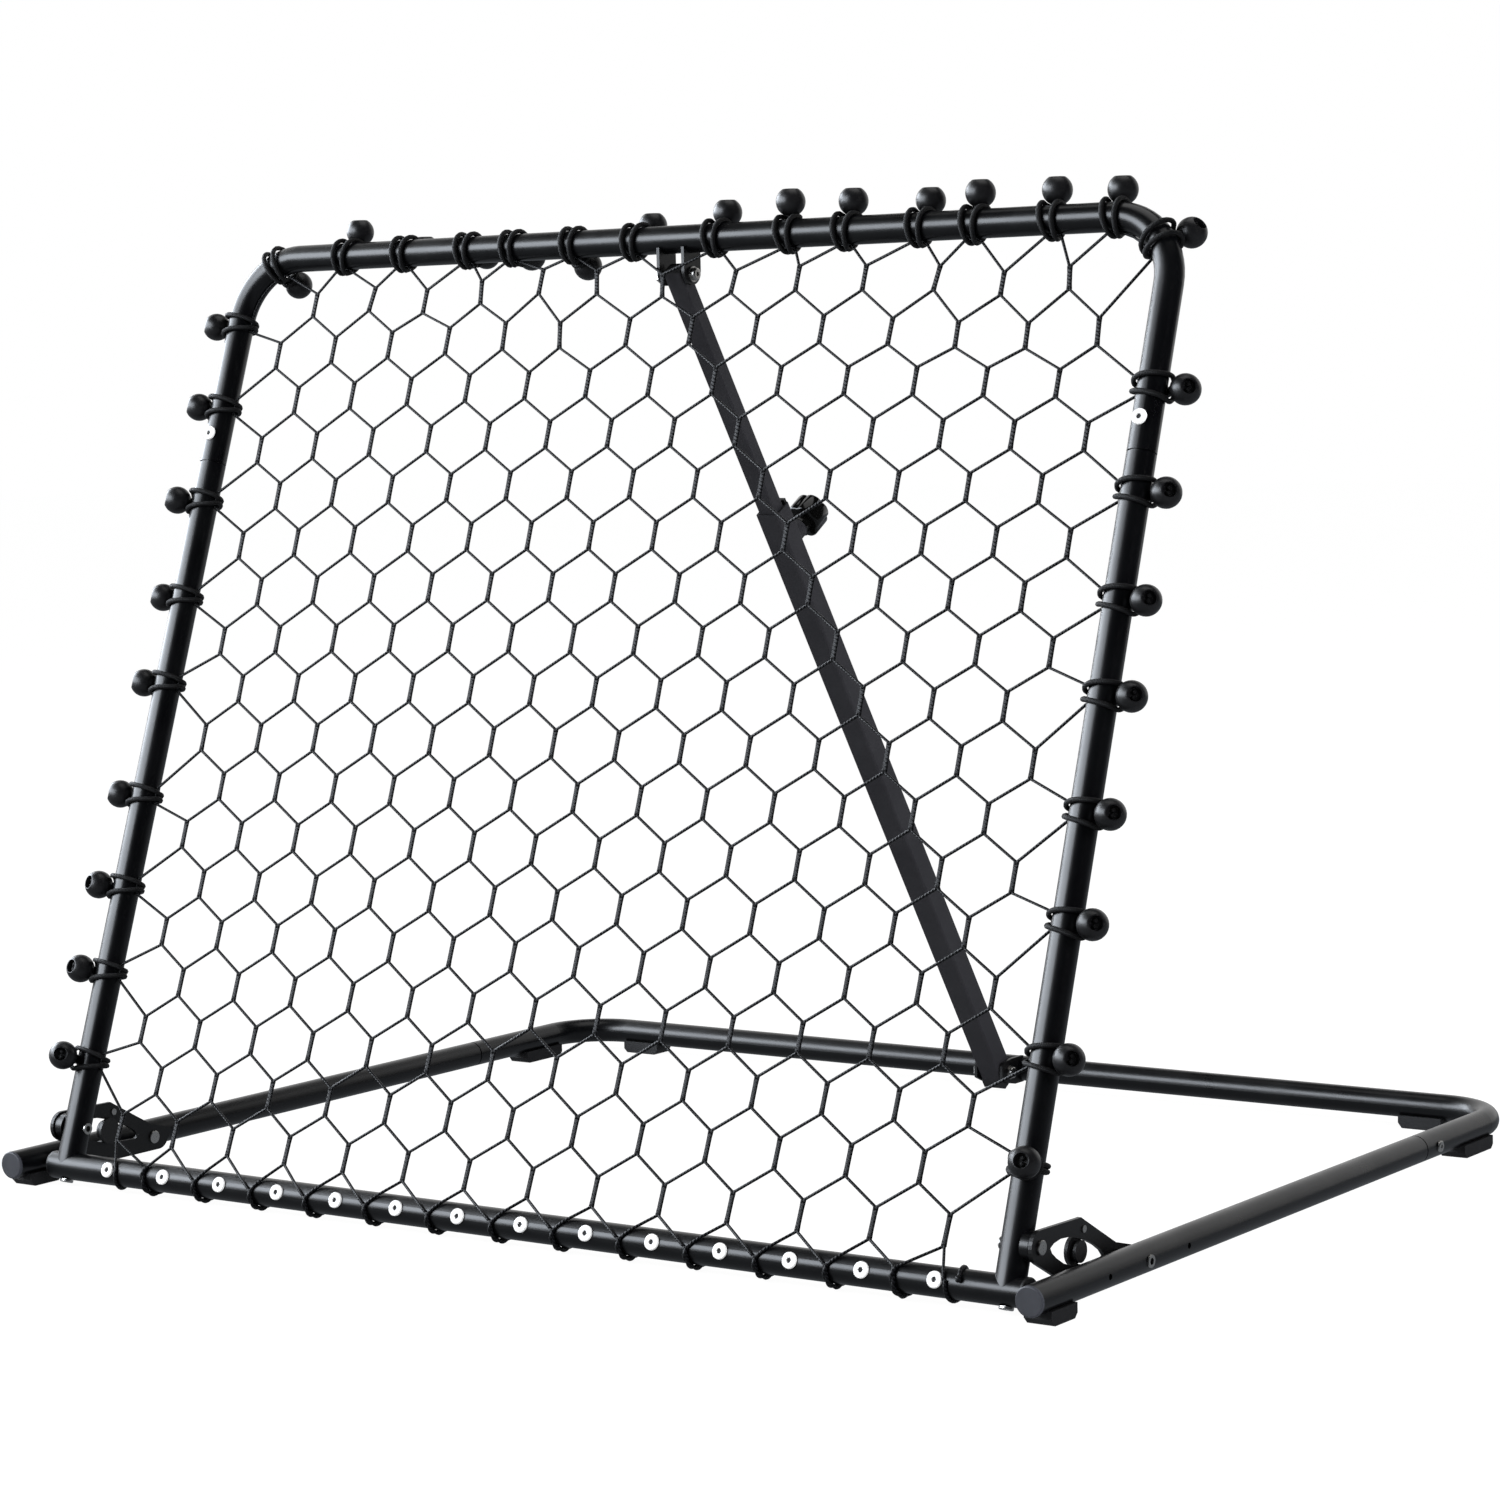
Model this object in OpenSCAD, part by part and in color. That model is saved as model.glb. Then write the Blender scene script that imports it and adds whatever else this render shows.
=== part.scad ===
// Pitch back rebounder: a ball-return net laced into a tilting tube frame,
// which hinges on a U-shaped floor base and leans on a telescopic arm.
// X runs across the net, Y from the player's side to the rear, Z up from the floor.
// The origin is on the floor, at the middle of the base.

/* [Tubes] */
// Outside diameter of all round frame tubes
tube_d = 25; // [20:0.5:30]
// Wall of the round frame tubes
tube_wall = 1.2; // [0.8:0.1:2]
// Centreline radius of the four tube bends
bend_r = 60; // [45:1:80]
// Length of the swaged end that plugs into the next tube
spigot_len = 50; // [30:1:70]

/* [Base] */
// Distance between the axes of the two side tubes
base_w = 1088; // [900:1:1300]
// Length of the base from the front caps to the back of the rear tube
base_depth = 875; // [780:1:1050]
// Height of the tubes above the floor, set by the rubber feet
foot_h = 8.5; // [6:0.5:12]
// Straight leg of the rear tube, from its bar's axis to the joint
base_joint = 195.4; // [150:1:260]
// Clear space between an upright and a side tube, filled by the hinge
side_gap = 14.2; // [12:0.1:20]

/* [Net frame] */
// Distance between the axes of the bottom bar and the top bar
net_h = 879; // [740:1:1060]
// Lean of the net frame back from upright
lean = 19.5; // [14:0.5:24]
// Distance of the upper tube joints below the net's third row from the top
joint_drop = 64.5; // [56:0.5:70]
// Overhang of the bottom bar past each upright's axis
bar_overhang = 16.2; // [14:0.1:18]

/* [Hinge] */
// Height of the hinge pin above the bottom bar's axis, along the upright
pivot_up = 35.7; // [30:0.5:44]
// Distance of the hinge pin behind the front of the base
pivot_in = 48; // [42:1:56]
// Room under the bottom bar when the frame stands upright
bar_lift = 3.4; // [3:0.1:8]
// Length of the spacers that hold the hinge plates off the side tubes
spacer_t = 5; // [3:0.1:7]
// Thickness of the hinge plates
plate_t = 3.5; // [2.5:0.1:5]
// Shank diameter of the hinge and plate rivets
rivet_d = 8; // [6:0.5:10]

/* [Support arm] */
// Width of the outer arm tube across the frame
arm_w = 24; // [20:0.5:28]
// Depth of the outer arm tube, front to back
arm_d = 23.5; // [19.5:0.5:28]
// Wall of both arm tubes
arm_wall = 1.5; // [1:0.1:2]
// Distance from the top pin to the mouth of the outer tube
arm_mouth = 252; // [220:1:320]
// Length of the inner tube below the top pin
inner_len = 580; // [480:1:660]
// Shank diameter of the two arm bolts
bolt_d = 8; // [6:0.5:10]
// Distance from the top bar's axis down to the top pin
top_pin_drop = 31.1; // [30:0.1:38]
// Clear space between the arm's foot and the rear tube
foot_gap = 2.55; // [1.8:0.05:6]

/* [Clamp knob] */
// Outside diameter of the knob
knob_d = 34.6; // [30:0.2:42]
// Length of the knob's fluted grip
knob_h = 24.3; // [18:0.1:29]
// Distance from the mouth of the outer tube down to the knob's axis
knob_below = 37.7; // [30:0.1:60]

/* [Net and ties] */
// Width of the doubled, twisted legs of the net
leg_w = 4.2; // [3:0.1:6]
// Width of the single slanted strands
strand_w = 2; // [1.5:0.1:3]
// Thickness of the net through its plane
net_t = 2.8; // [1.5:0.1:5]
// Length of a twisted leg between its two knots
leg_len = 26; // [20:0.5:32]
// Distance between neighbouring columns
col_pitch = 68.4; // [60:0.1:69]
// Diameter of the tie balls
ball_d = 26; // [20:0.5:30]
// Diameter of the elastic cord
cord_d = 4.4; // [3:0.1:6]

/* [Hidden] */
$fn = 48;
tube_r = tube_d / 2;
bore_r = tube_r - tube_wall;
fit = 0.1;            // radial clearance of pins and of plugs in tubes
seat = 0.3;           // clearance of parts that rest on each other
joint_gap = 0.75;     // half the visible gap at a tube joint
weld_gap = 0.05;      // clearance between welded shapes

half_base = base_w / 2;
half_depth = base_depth / 2;
base_z = foot_h + tube_r;
front_y = -half_depth;
rear_y = half_depth - tube_r;
cap_h = 3;            // visible thickness of a tube cap
cap_round = 1.5;
cap_plug = 18;        // length of a cap inside its tube
side_front_y = front_y + cap_h;
side_rear_y = rear_y - base_joint;

half_net = half_base - tube_d - side_gap;
pivot_y = front_y + pivot_in;
pivot_z = bar_lift + tube_r + pivot_up;
bar_y = pivot_y - pivot_up * sin(lean);
bar_z = pivot_z - pivot_up * cos(lean);
half_bar = half_net + bar_overhang;

// Hinge stack, counted inwards from the side tube
plate_out_x = half_base - tube_r - spacer_t;
plate_in_x = plate_out_x - plate_t;
washer_t = 1;
washer_gap = 0.25;
washer_x = plate_in_x - washer_gap - washer_t;
boss_d = tube_d - 1;
rivet_head_d = rivet_d * 1.5;
rivet_head_t = 2;
rivet_ring_t = 1.2;
plate_rivet_back = 117.3;   // from the hinge pin to the rear rivet
plate_rivet_y = pivot_y + plate_rivet_back;

// Pins of the arm
top_pin = [0, bar_y + net_h * sin(lean), bar_z + net_h * cos(lean) - top_pin_drop];
foot_pin_fwd = tube_r + arm_d / 2 + foot_gap;
foot_pin = [0, rear_y - foot_pin_fwd, base_z];
arm_run = foot_pin.y - top_pin.y;
arm_rise = top_pin.z - foot_pin.z;
arm_len = sqrt(arm_run * arm_run + arm_rise * arm_rise);
arm_lean = atan2(arm_run, arm_rise);
arm_corner = 2.5;
slide_side = 1.25;    // clearance at each side of the inner tube
slide_front = 0.7;    // clearance in front of the inner tube
slide_back = 4.3;     // room behind the inner tube, taken up as the arm swings
cavity_w = arm_w - 2 * arm_wall;
cavity_d = arm_d - 2 * arm_wall;
inner_w = cavity_w - 2 * slide_side;
inner_d = cavity_d - slide_front - slide_back;
inner_y = -cavity_d / 2 + slide_front + inner_d / 2;
inner_back = inner_y + inner_d / 2;
inner_over = 7;       // length of the inner tube past the top pin
outer_under = 4;      // length of the outer tube past the foot pin
mouth_z = arm_len - arm_mouth;
knob_z = mouth_z - knob_below;
swing_room = 2.4;     // free space kept behind the inner tube

ear_t = 3;
ear_w = 25;
top_ear_x = arm_w / 2;
top_ear_drop = 40.5;  // from the top bar's axis to the foot of an ear
foot_ear_x = arm_w / 2 + 1.5;
bolt_head_d = bolt_d * 1.4;
bolt_head_t = bolt_d / 2;
bolt_washer_d = bolt_d * 1.75;
bolt_washer_t = 1.5;
bolt_nut_t = 6;

screw_head_d = 13.6;
screw_head_t = 2;
screw_d = 5;
screw_len = 16;
top_screw_in = 27;    // from the upper tube joints to their screws
base_screw_in = 24.4; // from the base tube joints to their screws
bar_screw_d = 6;
bar_screw_head_d = 12;
bar_screw_head_t = 2.6;

// Ties: a pair of cord rings round the tube, with a ball seated between them
cord_r = cord_d / 2;
ball_r = ball_d / 2;
ring_r = tube_r + seat + cord_r;
ring_spread = ball_r * 0.65;       // half the distance of the rings at the ball
ring_pinch = cord_r + seat / 2;    // the same where they meet the net
ball_out = ring_r + sqrt(pow(ball_r + cord_r + seat, 2) - pow(ring_spread, 2));
tie_reach = ring_r + cord_r + seat;
ball_recess = 5;
bend_slack = pow(ring_spread, 2) / (2 * (bend_r - tube_r));  // room for the bend in a ring
// A tie is given by its place, the turn of its ball to the rear in degrees, the
// ball's shift along the tube, and the turn at which the ball's flat end faces.
// On the top bar the place is a share of a column pitch from the middle.
top_ties = [
    [-5.8, 16, 13, -20], [-4.64, 61, 3, -20], [-3.52, 79, 0, 79], [-2.76, 86, 2, 86],
    [-1.8, 113, 6, 113], [-0.85, 40, 13, -20], [0.53, 19, 6, -20], [1.65, -10, 6, -20],
    [2.57, 5, 4, -20], [3.69, 17, 3, -20], [4.48, 1, 3, -20], [5.67, 7, -5, -20],
    [6.48, 16, 0, -20]
];
// On a bend the place is the angle from straight up
left_bend_tie = [26, 113, 0, 113];
right_bend_tie = [52, 45, -2, -20];
// On the uprights the place is an offset from a row of the net
left_ties = [
    [13, -66, -1, -122], [4, -26, -2, -80], [-8, -20, -3, -72], [-15, -9, -1, -45],
    [0, -6, -1, -45], [-9, -2, -1, -45], [-7, -22, -3, -45], [-8, -11, -1, -45],
    [-19, -7, -2, -45]
];
right_ties = [
    [12, -67, -1, -74], [2, -20, 0, -47], [18, -15, -2, -47], [13, -14, -2, -47],
    [15, -7, -1, -47], [0, -9, -1, -47], [-4, 0, 0, -47], [-9, 12, 0, -47]
];

// Net: every second row has a leg on each column, the others stand between.
// The counts are fixed, because the ties above are placed one by one.
net_rows = 18;
net_cols = 14;
row_bottom = 39;
row_top_gap = 46.1;
row_pitch = (net_h - row_top_gap - row_bottom) / (net_rows - 1);
legs_in = [for (r = [0 : net_rows - 1]) r % 2 == 0 ? net_cols : net_cols - 1];
first_leg = [for (r = 0, n = 0; r < net_rows; n = n + legs_in[r], r = r + 1) n];
leg_count = first_leg[net_rows - 1] + legs_in[net_rows - 1];
function leg_x(r, k) = (k - (legs_in[r] - 1) / 2) * col_pitch;
// The top bracket pushes the net forward: by how much at a place in its plane
bracket_push = 8.6;
function pushed(p) =
    bracket_push * exp(-pow(p.x / 35, 2) - pow((p.y - net_h + top_pin_drop / 2) / 40, 2));
function row_s(r) = row_bottom + r * row_pitch;
joint_s = row_s(net_rows - 3) - joint_drop;
top_joint = net_h - joint_s;
// Index of a leg's lower knot; its upper knot follows it
function low(r, k) = 2 * (first_leg[r] + k);
function high(r, k) = low(r, k) + 1;
side_levels = [for (r = [1 : 2 : net_rows - 1]) r];
side_count = len(side_levels);
bend_mid = [half_net - bend_r, net_h - bend_r];
function on_bend(side, angle, r) =
    [side * (bend_mid.x + r * sin(angle)), bend_mid.y + r * cos(angle)];
function left_tie_s(i) = row_s(side_levels[i]) + left_ties[i][0];
function right_tie_s(i) = row_s(side_levels[i]) + right_ties[i][0];
edge_x = half_net - tie_reach - strand_w;
leg_knots = [for (r = [0 : net_rows - 1], k = [0 : legs_in[r] - 1], e = [-1, 1])
    [leg_x(r, k), row_s(r) + e * leg_len / 2]];
left_knots = [for (i = [0 : side_count - 1]) [-edge_x, left_tie_s(i)]];
right_knots = [for (i = [0 : side_count - 1])
    i < side_count - 1 ? [edge_x, right_tie_s(i)]
        : on_bend(1, right_bend_tie[0], bend_r - tie_reach - strand_w)];
top_knots = concat(
    [on_bend(-1, left_bend_tie[0], bend_r - tie_reach - strand_w)],
    [for (t = top_ties) [t[0] * col_pitch, net_h - tie_reach - strand_w]]);
bar_loop_r = tube_r + seat + leg_w / 2;
// Offset of each loop on the bottom bar from the middle between its screws
bar_loop_shift = [45, 11, 5, 4, 0, 0, 2, 3, 4, 4, 3, 2, 1, -4, -24];
bar_loop_xs = [for (j = [0 : net_cols]) (j - net_cols / 2) * col_pitch + bar_loop_shift[j]];
bottom_knots = [for (x = bar_loop_xs) [x, bar_loop_r + leg_w / 2 + strand_w / 2]];
first_left = 2 * leg_count;
first_right = first_left + side_count;
first_top = first_right + side_count;
first_bottom = first_top + net_cols;
knots = concat(leg_knots, left_knots, right_knots, top_knots, bottom_knots);
legs = [for (i = [0 : leg_count - 1]) [2 * i, 2 * i + 1]];
// From a fuller row up to the next, and from there up to a fuller row
rising = [for (r = [0 : 2 : net_rows - 2], k = [0 : net_cols - 2], e = [0, 1])
    [high(r, k + e), low(r + 1, k)]];
falling = [for (r = [1 : 2 : net_rows - 3], k = [0 : net_cols - 2], e = [0, 1])
    [high(r, k), low(r + 1, k + e)]];
edges_below = [for (i = [0 : side_count - 1]) each [
    [high(2 * i, 0), first_left + i],
    [high(2 * i, net_cols - 1), first_right + i]]];
edges_above = [for (i = [0 : side_count - 2]) each [
    [low(2 * i + 2, 0), first_left + i],
    [low(2 * i + 2, net_cols - 1), first_right + i]]];
top_edges = [for (k = [0 : net_cols - 2], e = [0, 1])
    [high(net_rows - 1, k), first_top + k + e]];
bottom_edges = [for (k = [0 : net_cols - 1], e = [0, 1])
    [low(0, k), first_bottom + k + e]];
// The edge runs on round the bends, from the last side ties to the end ties on top
corner_edges = [
    [first_left + side_count - 1, first_top],
    [first_right + side_count - 1, first_top + net_cols - 1]
];
strands = concat(
    legs, rising, falling, edges_below, edges_above, top_edges, bottom_edges, corner_edges);

// Places the frame of the net: X across, Z up the net, Y out of its back
module on_panel() {
    translate([0, bar_y, bar_z])
        rotate([-lean, 0, 0])
            children();
}

// Places the frame of the arm: Z from the foot pin to the top pin, Y out of its back
module on_arm() {
    translate(foot_pin)
        rotate([arm_lean, 0, 0])
            children();
}

module both_sides() {
    children();
    mirror([1, 0, 0])
        children();
}

module along_x(x = 0) {
    translate([x, 0, 0])
        rotate([0, 90, 0])
            children();
}

// Points the Z axis of its children to the front
module facing_front() {
    rotate([90, 0, 0])
        children();
}

module ring_2d(outer, inner) {
    difference() {
        circle(outer);
        circle(inner);
    }
}

// Straight tube along Z, with a swaged spigot past its far end
module spigoted_tube(length) {
    spigot_r = bore_r - fit;
    neck = length - joint_gap;
    rotate_extrude()
        polygon([
            [bore_r, 0], [tube_r, 0], [tube_r, neck], [spigot_r, neck],
            [spigot_r, length + spigot_len],
            [spigot_r - tube_wall, length + spigot_len],
            [spigot_r - tube_wall, neck - tube_wall], [bore_r, neck - tube_wall]
        ]);
}

// Bent tube: its bar along X through the origin, its legs down to -leg
module u_tube(half_span, leg) {
    straight = half_span - bend_r;
    along_x(-straight)
        linear_extrude(2 * straight)
            ring_2d(tube_r, bore_r);
    both_sides() {
        translate([straight, 0, -bend_r])
            rotate([90, 0, 0])
                rotate_extrude(angle = 90)
                    translate([bend_r, 0])
                        ring_2d(tube_r, bore_r);
        translate([half_span, 0, -leg + joint_gap])
            linear_extrude(leg - bend_r - joint_gap)
                ring_2d(tube_r, bore_r);
    }
}

// Disc along Z with its far edge rounded
module rounded_disc(r, h, edge) {
    rotate_extrude()
        union() {
            square([r, h - edge]);
            square([r - edge, h]);
            translate([r - edge, h - edge])
                circle(edge);
        }
}

// Moulded cap: a plug below the origin and a rounded face above it
module tube_cap() {
    translate([0, 0, -cap_plug])
        cylinder(r = bore_r - fit, h = cap_plug + cap_round);
    rounded_disc(tube_r, cap_h, cap_round);
}

// Socket-head screw: shank below the origin, head above it
module socket_screw(head_d, head_t, shank_d, shank_len) {
    difference() {
        union() {
            rounded_disc(head_d / 2, head_t, head_t * 0.4);
            translate([0, 0, -shank_len])
                cylinder(d = shank_d, h = shank_len + head_t / 2);
        }
        translate([0, 0, head_t * 0.35])
            cylinder(d = head_d * 0.38, h = head_t, $fn = 6);
    }
}

// Semi-tubular rivet along Z: its head above the length, a rolled ring below zero
module tubular_rivet(length) {
    difference() {
        union() {
            cylinder(d = rivet_d, h = length + rivet_head_t / 2);
            translate([0, 0, length])
                rounded_disc(rivet_head_d / 2, rivet_head_t, 0.6);
            translate([0, 0, -rivet_ring_t])
                cylinder(d = rivet_d * 1.3, h = rivet_ring_t);
        }
        translate([0, 0, -rivet_ring_t - 1])
            cylinder(d = rivet_d * 0.7, h = 9);
    }
}

// Rounded rectangle, w across and d deep
module rounded_rect(w, d, r) {
    square([w - 2 * r, d], center = true);
    square([w, d - 2 * r], center = true);
    for (x = [-1, 1], y = [-1, 1])
        translate([x * (w / 2 - r), y * (d / 2 - r)])
            circle(r);
}

module box_tube_2d(w, d, r, wall) {
    difference() {
        rounded_rect(w, d, r);
        rounded_rect(w - 2 * wall, d - 2 * wall, r - wall);
    }
}

// ---- Base ----

side_hole_d = 5;
side_hole_gap = 63;   // from the plate rivet to the open hole on each side of it

module side_tube() {
    color("dimgray")
        difference() {
            translate([half_base, side_front_y, base_z])
                rotate([-90, 0, 0])
                    spigoted_tube(side_rear_y - side_front_y);
            translate([0, plate_rivet_y, base_z])
                along_x(half_base - tube_d)
                    cylinder(d = rivet_d + 2 * fit, h = 2 * tube_d);
            for (e = [-1, 1])
                translate([0, plate_rivet_y + e * side_hole_gap, base_z])
                    along_x(half_base)
                        cylinder(d = side_hole_d, h = tube_d);
            translate([0, side_rear_y + base_screw_in, base_z])
                along_x(half_base)
                    cylinder(d = screw_d + 2 * fit, h = tube_d);
        }
}

module side_tube_right() {
    side_tube();
}

module side_tube_left() {
    mirror([1, 0, 0])
        side_tube();
}

module rear_tube() {
    color("dimgray")
        difference() {
            translate([0, rear_y, base_z])
                rotate([-90, 0, 0])
                    u_tube(half_base, base_joint);
            both_sides()
                translate([0, side_rear_y + base_screw_in, base_z])
                    along_x(half_base)
                        cylinder(d = screw_d + 2 * fit, h = tube_d);
        }
}

module base_tube_caps() {
    color("slategray")
        both_sides()
            translate([half_base, side_front_y, base_z])
                facing_front()
                    tube_cap();
}

module base_joint_screws() {
    color("silver")
        both_sides()
            translate([0, side_rear_y + base_screw_in, base_z])
                along_x(half_base + tube_r)
                    socket_screw(10, screw_head_t, screw_d, tube_r - 2);
}

foot_wrap = 12;       // height to which a foot climbs up its tube
foot_chamfer = 4;

// Foot under a tube that runs along X, as long as given, cut back at both ends
module tube_foot(length, nose) {
    difference() {
        rotate([90, 0, 0])
            translate([0, 0, -tube_r])
                linear_extrude(tube_d)
                    polygon([
                        [0, foot_wrap], [0, foot_h * 0.6], [nose, 0],
                        [length - foot_chamfer, 0], [length, foot_chamfer],
                        [length, foot_wrap]
                    ]);
        translate([0, 0, base_z])
            along_x(-1)
                cylinder(r = tube_r + weld_gap, h = length + 2);
    }
}

front_foot_len = 38.5;
front_foot_in = 13;
front_foot_nose = 5;
bar_foot_len = 44;
side_foot_len = 60;

module front_feet() {
    color("black")
        both_sides()
            translate([half_base, front_y + front_foot_in, 0])
                rotate([0, 0, 90])
                    tube_foot(front_foot_len, front_foot_nose);
}

module rear_bar_feet() {
    color("black")
        both_sides()
            translate([half_base - bend_r - bar_foot_len - 2, rear_y, 0])
                tube_foot(bar_foot_len, foot_chamfer);
}

module rear_side_feet() {
    color("black")
        both_sides()
            translate([half_base, rear_y - bend_r - side_foot_len + 1.5, 0])
                rotate([0, 0, 90])
                    tube_foot(side_foot_len, foot_chamfer);
}

// Outline of a hinge plate: its own X runs to the rear, its Y up, from the pin
lobe_r = 13.5;
rear_lobe_r = 12.6;
plate_low = pivot_z - 8.6;

// Points on an arc, from one angle to another
function arc(centre, r, from, to, steps = 12) =
    [for (i = [0 : steps])
        let (a = from + (to - from) * i / steps)
        centre + r * [cos(a), sin(a)]];

module plate_outline() {
    rear_lobe = [plate_rivet_back + 7, base_z - pivot_z];
    polygon(concat(
        arc([0, 0], lobe_r, 240, 86),
        [[58, 12], [62, 12], [66, 9.6], [115, -18], [139, -24.5], [142, -28]],
        arc(rear_lobe, rear_lobe_r, -20, -90),
        [[52, -plate_low], [46, -plate_low + 2], [19, -25.7]]
    ));
}

module plate_window() {
    polygon([
        [14.5, -3.5], [20, -0.6], [30, 1], [43, 0], [51, -2], [60, -4.6], [70, -8.1],
        [83, -14.3], [92, -20], [97, -25.5], [93, -28], [75, -27.2], [60, -26],
        [46, -23.2], [34, -19.1], [23.5, -12.9], [17, -7.8]
    ]);
}

button_back = 57;     // from the hinge pin to the button in the window
button_down = 14;
button_d = 24;
pin_at = [65.3, 2.3]; // from the hinge pin to the small rivet above the window
pin_d = 4;

module hinge_plate() {
    color("black")
        translate([plate_in_x, pivot_y, pivot_z])
            rotate([90, 0, 90])
                linear_extrude(plate_t)
                    difference() {
                        plate_outline();
                        plate_window();
                        circle(d = rivet_d + 2 * fit);
                        translate(pin_at)
                            circle(d = pin_d + 2 * fit);
                        translate([plate_rivet_back, base_z - pivot_z])
                            circle(d = rivet_d + 2 * fit);
                    }
}

module hinge_plate_right() {
    hinge_plate();
}

module hinge_plate_left() {
    mirror([1, 0, 0])
        hinge_plate();
}

module plate_rivets() {
    color("silver")
        both_sides()
            translate([half_base + tube_r, plate_rivet_y, base_z])
                rotate([0, -90, 0])
                    tubular_rivet(half_base + tube_r - plate_in_x);
}

module plate_pins() {
    head_d = pin_d * 1.5;
    head_t = 1;
    color("silver")
        both_sides()
            translate([0, pivot_y + pin_at.x, pivot_z + pin_at.y]) {
                along_x(plate_in_x - head_t)
                    cylinder(d = head_d, h = head_t);
                along_x(plate_in_x - 0.5)
                    cylinder(d = pin_d, h = plate_t + 1);
                along_x(plate_out_x)
                    cylinder(d = head_d, h = head_t);
            }
}

spacer_d = 14;

// Rear spacers lie on the plate rivets, front ones are welded to plate and tube
module plate_spacers() {
    color("black")
        both_sides()
            for (back = [plate_rivet_y, plate_rivet_y - side_hole_gap])
                translate([0, back, base_z])
                    along_x(plate_out_x)
                        linear_extrude(spacer_t - weld_gap)
                            ring_2d(spacer_d / 2, rivet_d / 2 + fit);
}

module hinge_buttons() {
    inner_flange = 3;
    outer_flange = 2.5;
    core_d = 16;
    color("black")
        both_sides()
            translate([0, pivot_y + button_back, pivot_z - button_down]) {
                along_x(plate_in_x - inner_flange)
                    cylinder(d = button_d, h = inner_flange);
                along_x(plate_in_x - 1)
                    cylinder(d = core_d, h = plate_t + 2);
                along_x(plate_out_x)
                    cylinder(d = button_d - 6, h = outer_flange);
            }
}

foot_ear_front = 14.5;  // from the foot pin to the front edge of an ear
foot_ear_reach = 30;    // from the foot pin to the rear edge
foot_ear_low = 13.4;

module foot_bracket_ears() {
    color("black")
        both_sides()
            translate([foot_ear_x, foot_pin.y, foot_pin.z])
                rotate([90, 0, 90])
                    linear_extrude(ear_t)
                        difference() {
                            polygon([
                                [-foot_ear_front, -5.5], [-2, -11], [10, -foot_ear_low],
                                [foot_ear_reach - 4, -foot_ear_low], [foot_ear_reach, -10],
                                [foot_ear_reach, 10], [foot_ear_reach - 4, foot_ear_low],
                                [4, foot_ear_low], [3 - foot_ear_front, 11], [-foot_ear_front, 8]
                            ]);
                            translate([foot_pin_fwd, 0])
                                circle(tube_r + weld_gap);
                            circle(d = bolt_d + 2 * fit);
                        }
}

// Bolt along X with a socket head and washer at +X and a hex nut at -X
module cross_bolt(half_grip) {
    along_x(half_grip) {
        cylinder(d = bolt_washer_d, h = bolt_washer_t);
        translate([0, 0, bolt_washer_t])
            socket_screw(bolt_head_d, bolt_head_t, bolt_d, 2 * half_grip + bolt_washer_t);
    }
    difference() {
        along_x(-half_grip - bolt_nut_t)
            cylinder(d = bolt_d * 1.8, h = bolt_nut_t, $fn = 6);
        along_x(-half_grip - bolt_nut_t - 1)
            cylinder(d = bolt_d - 1, h = 3);
    }
}

module foot_bolt() {
    color("silver")
        translate(foot_pin)
            cross_bolt(foot_ear_x + ear_t + weld_gap);
}

// ---- Net frame ----

module bottom_bar() {
    color("dimgray")
        on_panel()
            difference() {
                along_x(-half_bar)
                    linear_extrude(2 * half_bar)
                        ring_2d(tube_r, bore_r);
                for (k = [0 : net_cols - 1])
                    translate([leg_x(0, k), 0, 0])
                        facing_front()
                            cylinder(d = screw_d + 2 * fit, h = tube_d);
                both_sides()
                    translate([half_net, 0, -tube_d])
                        cylinder(d = bar_screw_d + 2 * fit, h = 2 * tube_d);
            }
}

module bar_end_caps() {
    color("black")
        on_panel()
            both_sides()
                along_x(half_bar)
                    tube_cap_short();
}

// Cap whose plug stays clear of the screw through the bar
module tube_cap_short() {
    plug = bar_overhang - bar_screw_d;
    translate([0, 0, -plug])
        cylinder(r = bore_r - fit, h = plug + cap_round);
    rounded_disc(tube_r, cap_h, cap_round);
}

upright_plug = 10;    // solid threaded end above the bottom bar

module upright() {
    boss_end = washer_x - half_net;
    color("dimgray")
        on_panel()
            translate([half_net, 0, 0])
                difference() {
                    union() {
                        spigoted_tube(joint_s);
                        cylinder(r = tube_r - tube_wall / 2, h = tube_r + upright_plug);
                        translate([0, 0, pivot_up])
                            along_x(tube_r - 3)
                                cylinder(d = boss_d, h = boss_end - tube_r + 3);
                    }
                    translate([0, 0, tube_r + upright_plug])
                        cylinder(r = bore_r, h = joint_s - tube_d - upright_plug);
                    along_x(-tube_d)
                        cylinder(r = tube_r + weld_gap, h = 2 * tube_d);
                    cylinder(d = bar_screw_d + 2 * fit, h = tube_r + upright_plug + 1);
                    translate([0, 0, pivot_up])
                        along_x(-tube_d)
                            cylinder(d = rivet_d + 2 * fit, h = 3 * tube_d);
                    translate([0, 0, joint_s + top_screw_in])
                        facing_front()
                            cylinder(d = screw_d + 2 * fit, h = tube_d);
                }
}

module upright_right() {
    upright();
}

module upright_left() {
    mirror([1, 0, 0])
        upright();
}

module top_tube() {
    color("dimgray")
        on_panel()
            difference() {
                translate([0, 0, net_h])
                    u_tube(half_net, top_joint);
                both_sides()
                    translate([half_net, 0, joint_s + top_screw_in])
                        facing_front()
                            cylinder(d = screw_d + 2 * fit, h = tube_d);
            }
}

module upright_joint_screws() {
    color("white")
        on_panel()
            both_sides()
                translate([half_net, -tube_r, joint_s + top_screw_in])
                    facing_front()
                        socket_screw(screw_head_d, screw_head_t, screw_d, tube_r - 2);
}

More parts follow.
